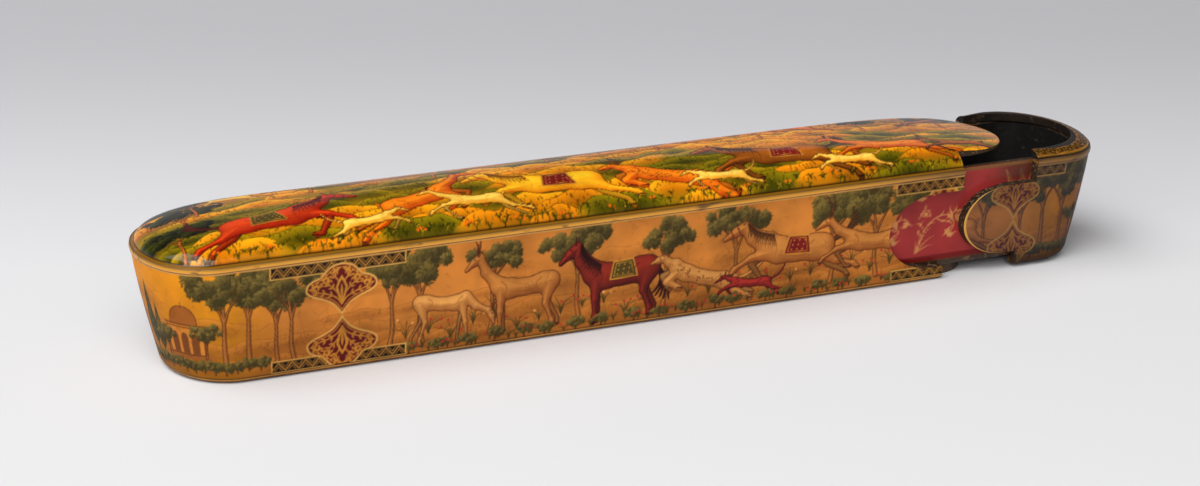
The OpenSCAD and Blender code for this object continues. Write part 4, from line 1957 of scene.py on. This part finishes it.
@dataclass
class Case(Assembly):
    """The case: two painted side walls, the gilded bead and the domed top."""

    film: float = 0.04
    film_top: float = 3.4
    foot: float = 0.25
    squeeze: float = 3.0
    wall_along: tuple = (104, 660, 48, 13, 15)
    wall_up: tuple = (10, 5, 80, 17)
    back_along: tuple = (16, 24, 10, 3, 3)
    top_along: tuple = (66, 570, 14, 60)
    top_across: tuple = (3, 13, 100, 13, 3)
    under_along: tuple = (16, 36, 2, 12)
    under_across: tuple = (1, 2, 14, 2, 1)
    bead_steps: int = 90
    top_stretch: float = 1.1
    ledge_gold: Colour = (150, 102, 18)
    ledge_line: Colour = (52, 30, 6)
    ledge_shine: float = 0.4
    ledge_slack: float = 0.02
    line_from: float = 0.9

    def wall_sheet(self, u: Array, v: Array, inner: bool, side: int) -> Sheet:
        """Lays out one side wall, from the closed end's tip to the mouth.

        Args:
            u: Places along: round end, straight, up to the hollow, lower lip, upper lip.
            v: Places up: over the base's edge, below, beside and above the hollow.
            inner: True for the back of the wall.
            side: -1 for the front, 1 for the back.

        Returns:
            The sheet.
        """
        form = self.form
        levels = (self.foot, form.board, form.hollow_low, form.hollow_high, form.wall_top)
        z = np.interp(v, np.arange(5), levels)
        edge = form.edge_in(z, form.edge_round)
        d = (np.where(v < 1, edge + self.film, form.wall) if inner
             else edge - self.film * unit(self.film_top - z))
        z, d = z[:, None], d[:, None]
        level = np.clip((z - form.hollow_middle) / (form.hollow_height / 2), -1.0, 1.0)
        cut = form.hollow_x - form.hollow_round * np.sqrt(1 - level ** 2)
        near = form.hollow_x - form.hollow_round - self.squeeze
        end, across = form.end_point(np.minimum(u, 1.0) * QUARTER, z, d)
        run = routed(u, (-form.straight_at(z, d), near), (near, cut), (form.hollow_x, form.lower_x),
                     (form.lower_x, form.upper_x), first=1)
        points = np.stack(np.broadcast_arrays(np.where(u <= 1, -end, run), side * across, z), -1)
        uc, vc = self.middles(u), self.middles(v)[:, None]
        keep = (uc < 3) | ((vc < 2) & (uc < 4)) | (vc > 3)
        if side > 0:
            return Sheet(points[:, ::-1], u[-1] - u[::-1], v, keep[:, ::-1])
        return Sheet(points, u, v, keep)

    def walls(self) -> None:
        """Builds the front and the back wall."""
        for name, side in (("case_wall_front", -1), ("case_wall_back", 1)):
            outer = self.wall_sheet(stretches(*self.wall_along), stretches(*self.wall_up), False, side)
            inner = self.wall_sheet(stretches(*self.back_along), self.plain_up(), True, side)
            paint, gold = self.paints.side(self.form, outer.points)
            made = shell(name, outer, inner, paint, gold,
                         (self.dress.wall, self.dress.edge, self.dress.inside))
            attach(made, "case")
            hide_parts("case_wall")

    def bead(self) -> None:
        """Builds the gilded bead round the case."""
        form = self.form
        path = form.bead_path(form.upper_x, self.bead_steps, -1)
        made = self.sweep.along("case_bead", path[::-1], form.bead_sizes(form.wall))
        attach(made, "case")
        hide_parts("case_rim")

    def top_sheet(self, u: Array, v: Array, s: float) -> Sheet:
        """Lays out the domed top, with its ledge and its tongue over the mouth.

        Args:
            u: Places along: round end, straight, tongue's sides, tongue's nose.
            v: Places across: ledge, shoulder, middle, shoulder, ledge.
            s: The depth below the outer face.

        Returns:
            The sheet.
        """
        form = self.form
        foot = form.ledge + s
        half, tongue = form.rim_half - foot, form.tongue_width / 2
        angle = np.clip(u, 0.0011, 1.0) * QUARTER
        curl = np.clip(u - 3, 0.0, 0.999) * QUARTER
        start, nose = -form.tip + form.end_reach, form.tip - form.tongue_inset - form.tongue_round
        x = np.interp(u, (1, 2, 3), (start, form.upper_x, nose))
        x = np.where(u < 1, start - (form.end_reach - foot) * np.cos(angle), x)
        x = x + form.tongue_round * np.sin(curl)
        swell = np.sin(angle) * np.cos(curl)
        share = np.interp(v, np.arange(6), (-1, -1, -tongue / half, tongue / half, 1, 1))[:, None]
        x, y = np.broadcast_arrays(x, share * half * swell)
        on_foot = ((v <= 1) | (v >= 4))[:, None] & (u <= 2)
        points = np.stack((x, y, np.where(on_foot, form.dome_foot, form.dome_z(x, y, s))), -1)
        wide = 0.0 if s == 0 else foot
        edge_x = np.where(u < 1, start - (form.end_reach - wide) * np.cos(angle), x[0])
        edge_y = np.sign(share) * (form.rim_half - wide) * swell
        edge = np.stack(np.broadcast_arrays(edge_x, edge_y, form.rim_height), -1)
        points = blend(points, edge, unit(np.maximum(1 - v, v - 4))[:, None, None])
        uc, vc = self.middles(u), self.middles(v)[:, None]
        return Sheet(points, u, v, (uc < 2) | ((vc > 2) & (vc < 3)))

    def top(self) -> None:
        """Builds the domed top, with gold and a dark line on its ledge."""
        form = self.form
        outer = self.top_sheet(stretches(*self.top_along), stretches(*self.top_across), 0.0)
        inner = self.top_sheet(stretches(*self.under_along), stretches(*self.under_across), form.dome_skin)
        paint, gold = self.paints.top.sample(outer.points[..., 0], outer.points[..., 1] * self.top_stretch)
        rim = np.abs(outer.points[..., 2] - form.rim_height) < form.ledge_rise + self.ledge_slack
        paint[rim] = linear(self.ledge_gold)
        gold[rim] = self.ledge_shine
        inwards = np.minimum(outer.v, len(self.top_across) - outer.v) > self.line_from
        paint[rim & inwards[:, None]] = linear(self.ledge_line)
        made = shell("case_top_shell", outer, inner, paint, gold,
                     (self.dress.top, self.dress.edge, self.dress.inside))
        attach(made, "case")
        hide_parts("case_top")

    def build(self) -> None:
        """Builds and dresses the whole case."""
        self.walls()
        self.bead()
        self.top()
        self.clothe("case_base", self.dress.base)


@dataclass
class Drawer(Assembly):
    """The drawer: crimson wall, floor board and black lining."""

    along: tuple = (300, 190, 60, 190, 300, 60)
    rows_up: int = 82
    rows_down: int = 6
    lip_out: float = 0.5
    lip_in: float = 0.4
    bend_ahead: float = 8.0

    def wall(self) -> None:
        """Builds the crimson wall, all round the drawer: up its face, over its lip and down its back."""
        form = self.form
        low, high = form.floor_bottom + form.floor_board, form.rim_height - form.drawer_drop
        face, back = form.drawer_face, form.drawer_face + form.drawer_board
        rows = [(z, face) for z in np.linspace(low, high, self.rows_up)]
        rows += [(high, face + self.lip_out), (high, back - self.lip_in)]
        rows += [(z, back) for z in np.linspace(high, low, self.rows_down)]
        z, d = (np.array(part)[:, None] for part in zip(*rows))
        u = stretches(*self.along)[:-1]
        right, left = form.straight_at(z, d), -form.straight_at(z, d) + form.end_gap
        bend = form.hollow_x - form.hollow_round - self.bend_ahead
        turn = unit(u - 2) * math.pi - QUARTER
        swing = unit(u - 5) * math.pi + QUARTER
        x = routed(u, (left, bend), (bend, right), (right, right), (right, bend), (bend, left), (left, left))
        x = x + (form.end_reach - d) * (np.cos(turn) + np.cos(swing))
        y = form.half_at(z, d) * np.where(u > 5, np.sin(swing), np.sin(turn))
        points = np.stack(np.broadcast_arrays(x, y, z), -1)
        paint, gold = self.paints.drawer.sample(np.where(y > 0, -1, 1) * x, points[..., 2])
        quads = cells(*points.shape[:2], over=True, round_=True)
        face_end, lip_end = self.rows_up - 1, self.rows_up + 2
        groups = [(part.reshape(-1, 4), mark, mark != 1) for mark, part in enumerate(
            (quads[:face_end], quads[face_end:lip_end], quads[lip_end:]))]
        made = Piece("drawer_wall_ring", points.reshape(-1, 3) + (form.drawn_out, 0.0, 0.0), groups,
                     (self.dress.crimson, self.dress.edge, self.dress.lining), paint, gold).make()
        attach(made, "drawer")
        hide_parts("drawer_wall")

    def build(self) -> None:
        """Builds and dresses the drawer."""
        self.wall()
        self.clothe("drawer_lining", self.dress.lining)
        self.clothe("drawer_floor", self.dress.base)


@dataclass
class Cap(Assembly):
    """The cap on the drawer: painted wall with its tongues, gilded bead and black band."""

    film: float = 0.04
    film_top: float = 3.7
    foot: float = 0.25
    wall_along: tuple = (46, 14, 16, 26, 196, 26, 16, 14, 46)
    wall_up: tuple = (8, 8, 68, 16)
    back_along: tuple = (10, 3, 3, 4, 40, 4, 3, 3, 10)
    bead_steps: int = 12
    # Painted light on the cap's wall: the dimmed share is painted shade, the greyish colour and its share are
    # a painted reflection, and the foot sizes set painted shade that darkens it towards its foot.
    dimmed: float = 0.42
    painted_reflection: Colour = (80, 84, 96)
    reflection_share: float = 0.14
    foot_shade: float = 6.0
    foot_dark: float = 0.4
    brim: float = 0.05
    brim_shine: float = 0.8
    band_along: tuple = (40, 220, 40)
    band_rows: int = 20

    def wall_sheet(self, u: Array, v: Array, inner: bool) -> Sheet:
        """Lays out the cap's wall from the front tongue round the end to the back tongue.

        Args:
            u: Places along: nose, tongue, lower shoulder, straight, round end, and back again.
            v: Places up: over the foot's edge, below, beside and above the tongue.
            inner: True for the back of the wall.

        Returns:
            The sheet, with the drawer pushed in.
        """
        form, gap = self.form, self.form.mouth_gap
        low, high = form.hollow_low + gap + form.tongue_lift, form.hollow_high - gap
        radius = min(form.edge_round, form.floor_bottom - form.foot_lift)
        levels = (form.foot_lift + self.foot, form.floor_bottom, low, high, form.wall_top)
        z = np.interp(v, np.arange(5), levels)
        edge = form.edge_in(z - form.foot_lift, radius)
        d = (np.where(v < 1, edge + self.film, form.drawer_face) if inner
             else edge - self.film * unit(self.film_top - z))
        z, d = z[:, None], d[:, None]
        m = np.minimum(u, len(self.wall_along) - u)
        turn = unit(u - 4) * math.pi - QUARTER
        level = np.clip((z - (low + high) / 2) / ((high - low) / 2), -1.0, 1.0)
        middle, lower, upper = form.hollow_x + gap, form.lower_x + gap, form.upper_x + gap
        nose = middle - form.hollow_round * np.sqrt(1 - level ** 2)
        straight = form.straight_at(z, d)
        x = routed(m, (nose, middle), (middle, lower), (lower, upper), (upper, straight),
                   (straight, straight))
        x = x + (form.end_reach - d) * np.cos(turn)
        mc, vc = self.middles(m), self.middles(v)[:, None]
        keep = (mc > 3) | ((vc < 2) & (mc > 2)) | ((vc > 2) & (vc < 3))
        return Sheet(np.stack(np.broadcast_arrays(x, form.half_at(z, d) * np.sin(turn), z), -1), u, v, keep)

    def wall(self) -> None:
        """Builds the cap's wall, darker than the case by painted shade, greyed by a painted reflection,
        darkened at its foot by painted shade, and gold round its tongues.
        """
        outer = self.wall_sheet(stretches(*self.wall_along), stretches(*self.wall_up), False)
        inner = self.wall_sheet(stretches(*self.back_along), self.plain_up(), True)
        paint, gold = self.paints.side(self.form, outer.points)
        # Painted shade darkens the whole wall, a greyish painted reflection is mixed in, and painted shade
        # darkens it towards its foot.
        paint = paint * self.dimmed + linear(self.painted_reflection) * self.reflection_share
        paint *= np.clip(outer.points[..., 2:] / self.foot_shade, self.foot_dark, 1.0)
        brim = np.minimum(outer.u, len(self.wall_along) - outer.u) <= self.brim
        paint[:, brim] = linear(PALE_GOLD)
        gold[:, brim] = self.brim_shine
        for sheet in (outer, inner):
            sheet.points[..., 0] += self.form.drawn_out
        made = shell("cap_wall_shell", outer, inner, paint, gold,
                     (self.dress.wall, self.dress.edge, self.dress.inside))
        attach(made, "drawer")
        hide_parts("cap_wall")

    def bead(self) -> None:
        """Builds the gilded bead round the cap."""
        form = self.form
        path = form.bead_path(form.upper_x + form.mouth_gap, self.bead_steps, 1) + (form.drawn_out, 0.0, 0.0)
        made = self.sweep.along("cap_bead", path, form.bead_sizes(form.drawer_face))
        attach(made, "drawer")
        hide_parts("cap_rim")

    def band(self) -> None:
        """Builds the horseshoe band on top of the cap."""
        form, gap = self.form, self.form.mouth_gap
        u = stretches(*self.band_along)
        turn = unit(u - 1) * math.pi - QUARTER
        start, edges = form.upper_x + gap, []
        for straight, reach, half in (
                (form.tip - form.end_reach, form.end_reach, form.rim_half),
                (form.tip - form.tongue_inset - form.tongue_round + gap, form.tongue_round,
                 form.tongue_width / 2 + gap)):
            x = routed(np.minimum(u, 3 - u), (start, straight), (straight, straight)) + reach * np.cos(turn)
            edges.append(np.stack((x, half * np.sin(turn)))[:, None])
        outer, inner = edges
        share = np.concatenate((np.linspace(0.0, 1.0, self.band_rows + 1), [1.0, 1.0]))[:, None]
        x, y = blend(outer, inner, share)
        deep = (form.rim_width - form.tongue_width) / 2
        depth = np.clip(np.hypot(x - outer[0], y - outer[1]), 0.0, deep)
        z = form.rim_height + form.band_rise * np.sin(np.arccos(1 - depth / deep)) ** form.dome_bend
        z[-2] = (z[-3] + form.rim_height) / 2
        z[-1] = form.rim_height
        run = np.concatenate(([0.0], np.cumsum(np.hypot(*np.diff(outer[:, 0])))))
        paint, gold = BandScene(float(run[-1])).paint().sample(np.broadcast_to(run, depth.shape), depth)
        quads = cells(*depth.shape, over=True)
        mouth = np.arange(depth.shape[0]) * depth.shape[1]
        groups = [(quads[:self.band_rows].reshape(-1, 4), 0, True),
                  (quads[self.band_rows:].reshape(-1, 4), 1, False), (mouth[None, :], 1, False),
                  ((mouth + depth.shape[1] - 1)[None, ::-1], 1, False)]
        made = Piece("cap_band_shell", np.stack((x + form.drawn_out, y, z), -1).reshape(-1, 3), groups,
                     (self.dress.band, self.dress.inside), paint, gold).make()
        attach(made, "drawer")
        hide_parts("cap_band")

    def build(self) -> None:
        """Builds and dresses the whole cap."""
        self.wall()
        self.bead()
        self.band()
        self.clothe("cap_base", self.dress.base)


@dataclass
class Studio:
    """The pale floor, the soft lights and the camera at the photograph's viewing angle."""

    target: tuple[float, float, float] = (0.68, 0.0, 15.59)
    distance: float = 663.98
    azimuth: float = -23.5
    elevation: float = 18.3
    lens: float = 80.78
    floor_half: float = 4.0
    lamp_target: tuple[float, float, float] = (0.0, 0.0, 0.02)
    lamps: tuple = (("key", -36.0, 42.0, (3.0, 2.2), 54.0, 2.3), ("high", -80.0, 62.0, (3.0, 1.5), 38.0, 2.3))
    sky: tuple = ((0.0, (0.55, 0.53, 0.55, 1)), (0.25, (0.38, 0.36, 0.38, 1)),
                  (0.5, (0.09, 0.09, 0.09, 1)), (1.0, (0.03, 0.03, 0.03, 1)))

    def stand(self, made: bpy.types.Object, target: Vector, far: float, azimuth: float,
              elevation: float) -> None:
        """Stands a lamp or the camera round the box, facing a target.

        Args:
            made: The lamp or the camera.
            target: What it faces, in metres.
            far: Its distance in metres.
            azimuth: Where it stands round the box, in degrees.
            elevation: How high it stands, in degrees.
        """
        turn, rise = math.radians(azimuth), math.radians(elevation)
        away = Vector((math.sin(turn) * math.cos(rise), -math.cos(turn) * math.cos(rise), math.sin(rise)))
        made.location = target + away * far
        made.rotation_euler = away.to_track_quat("Z", "Y").to_euler()

    def camera(self) -> None:
        """Sets up the camera."""
        data = bpy.data.cameras.new("camera")
        data.sensor_fit = "HORIZONTAL"
        data.sensor_width = 36.0
        data.lens = self.lens
        data.clip_start = 0.01
        made = linked("camera", data)
        self.stand(made, Vector(self.target) * MM, self.distance * MM, self.azimuth, self.elevation)
        bpy.context.scene.camera = made

    def light(self) -> None:
        """Sets up the soft lamps and the dim sky."""
        for name, azimuth, elevation, size, power, far in self.lamps:
            data = bpy.data.lights.new(name, "AREA")
            data.shape = "RECTANGLE"
            data.size, data.size_y = size
            data.energy = power
            self.stand(linked(name, data), Vector(self.lamp_target), far, azimuth, elevation)
        world = bpy.data.worlds.new("studio")
        world.use_nodes = True
        board = Board(world.node_tree)
        rise = board.axis(board.node("ShaderNodeTexCoord", output="Generated"), 2)
        sky = board.node("ShaderNodeBackground", None, {"Color": board.tone(rise, self.sky), "Strength": 1.0})
        board.node("ShaderNodeOutputWorld", None, {"Surface": sky})
        bpy.context.scene.world = world

    def floor(self) -> None:
        """Lays the pale floor."""
        mesh = bpy.data.meshes.new("floor")
        corners = oblong(-self.floor_half, -self.floor_half, self.floor_half, self.floor_half)
        mesh.from_pydata([(x, y, 0.0) for x, y in corners], [], [(0, 1, 2, 3)])
        mesh.materials.append(PaleFloor("pale_floor", self.azimuth).material())
        linked("floor", mesh)

    def build(self) -> None:
        """Sets up the camera, the floor and the light."""
        self.camera()
        self.floor()
        self.light()


def front_scene() -> SideScene:
    """Composes the front.

    Returns:
        The front's painted side.
    """
    tone, kind, gait = SideTones, Kind, Gait
    beasts = (
        (kind.GAZELLE, gait.GRAZE, tone.CREAM, 15, False, -48, 2.4),
        (kind.STAG, gait.STAND, tone.TAN, 16.5, True, -27, 2.8),
        (kind.HORSE, gait.STAND, tone.CHESTNUT, 17, True, -2, 2.4),
        (kind.LEOPARD, gait.LEAP, tone.CREAM, 15, True, 20, 2.4),
        (kind.HORSE, gait.GALLOP, tone.TAN, 18, True, 45, 1.6),
        (kind.HOUND, gait.GALLOP, tone.CRIMSON, 9.5, True, 33, 1.2),
        (kind.STAG, gait.GALLOP, tone.TAN, 15.5, True, 67, 2.4))
    trees = (
        (-84, 22, 5, -1.5), (-61, 23, 5.4, 1.5), (-53, 25, 7, -1), (-36, 22, 4.6, 1.5),
        (-13, 24, 5.6, -1.5), (9, 22, 4.8, 1.6), (29, 24.5, 6, -1.2), (55, 24.5, 6.4, 1.2),
        (68, 25, 7, -1.6), (77, 21, 4.6, 1))
    return SideScene(3, beasts, trees, 1)


def back_scene() -> SideScene:
    """Composes the back.

    Returns:
        The back's painted side.
    """
    tone, kind, gait = SideTones, Kind, Gait
    beasts = (
        (kind.HORSE, gait.STAND, tone.CREAM, 17, False, -44, 2.4),
        (kind.LEOPARD, gait.GALLOP, tone.TAN, 14, False, -20, 2.4),
        (kind.STAG, gait.LEAP, tone.CHESTNUT, 14.8, False, 3, 2.4),
        (kind.HORSE, gait.GALLOP, tone.CRIMSON, 17.5, False, 28, 1.8),
        (kind.GAZELLE, gait.GALLOP, tone.CREAM, 14.5, False, 51, 2.4))
    trees = (
        (84, 22, 5, 1.5), (60, 24, 5.8, -1.5), (41, 23.5, 5.4, 1.2), (16, 24.5, 6, -1.5),
        (-8, 24, 5.6, 1.5), (-32, 23.5, 5.4, -1), (-57, 25, 6.6, 1.5), (-70, 24, 6, -1.2))
    return SideScene(5, beasts, trees, -1)


def main() -> None:
    """Builds the studio, the paintings and the pieces in order."""
    logging.basicConfig(level=logging.INFO)
    bpy.context.scene.view_settings.view_transform = "Standard"
    Studio().build()
    form = BoxForm()
    paints = Paints(front_scene().paint(), back_scene().paint(), TopScene().paint(), DrawerScene().paint())
    LOG.info("paintings done")
    dress = Dress(
        wall=PaintedLacquer("painted_wall_lacquer", 0.22, 0.14).material(),
        top=PaintedLacquer("painted_top_lacquer", 0.7, 0.12, 0.15).material(),
        crimson=PaintedLacquer("crimson_lacquer", 0.3, 0.22).material(),
        band=PaintedLacquer("black_band_lacquer", 0.4, 0.14).material(),
        gilding=WornGilding("worn_gilding", form.wall_top, form.rim_height).material(),
        edge=AgedPaint("cut_edge", (64, 46, 30), (128, 102, 74), 0.1, grain=1500.0).material(),
        inside=AgedPaint("dark_inside", (34, 24, 16), (62, 46, 30), 0.0).material(),
        lining=AgedPaint("black_lining_paint", (17, 14, 11), (46, 40, 33), -0.3, 0.75).material(),
        base=AgedPaint("dark_board_lacquer", (70, 42, 22), (110, 80, 46), 0.4, 0.5, 0.4).material())
    shared = (form, dress, paints, Sweep("gilded_bead_sweep", dress.gilding))
    Case(*shared).build()
    Drawer(*shared).build()
    Cap(*shared).build()


if __name__ == "__main__":
    main()
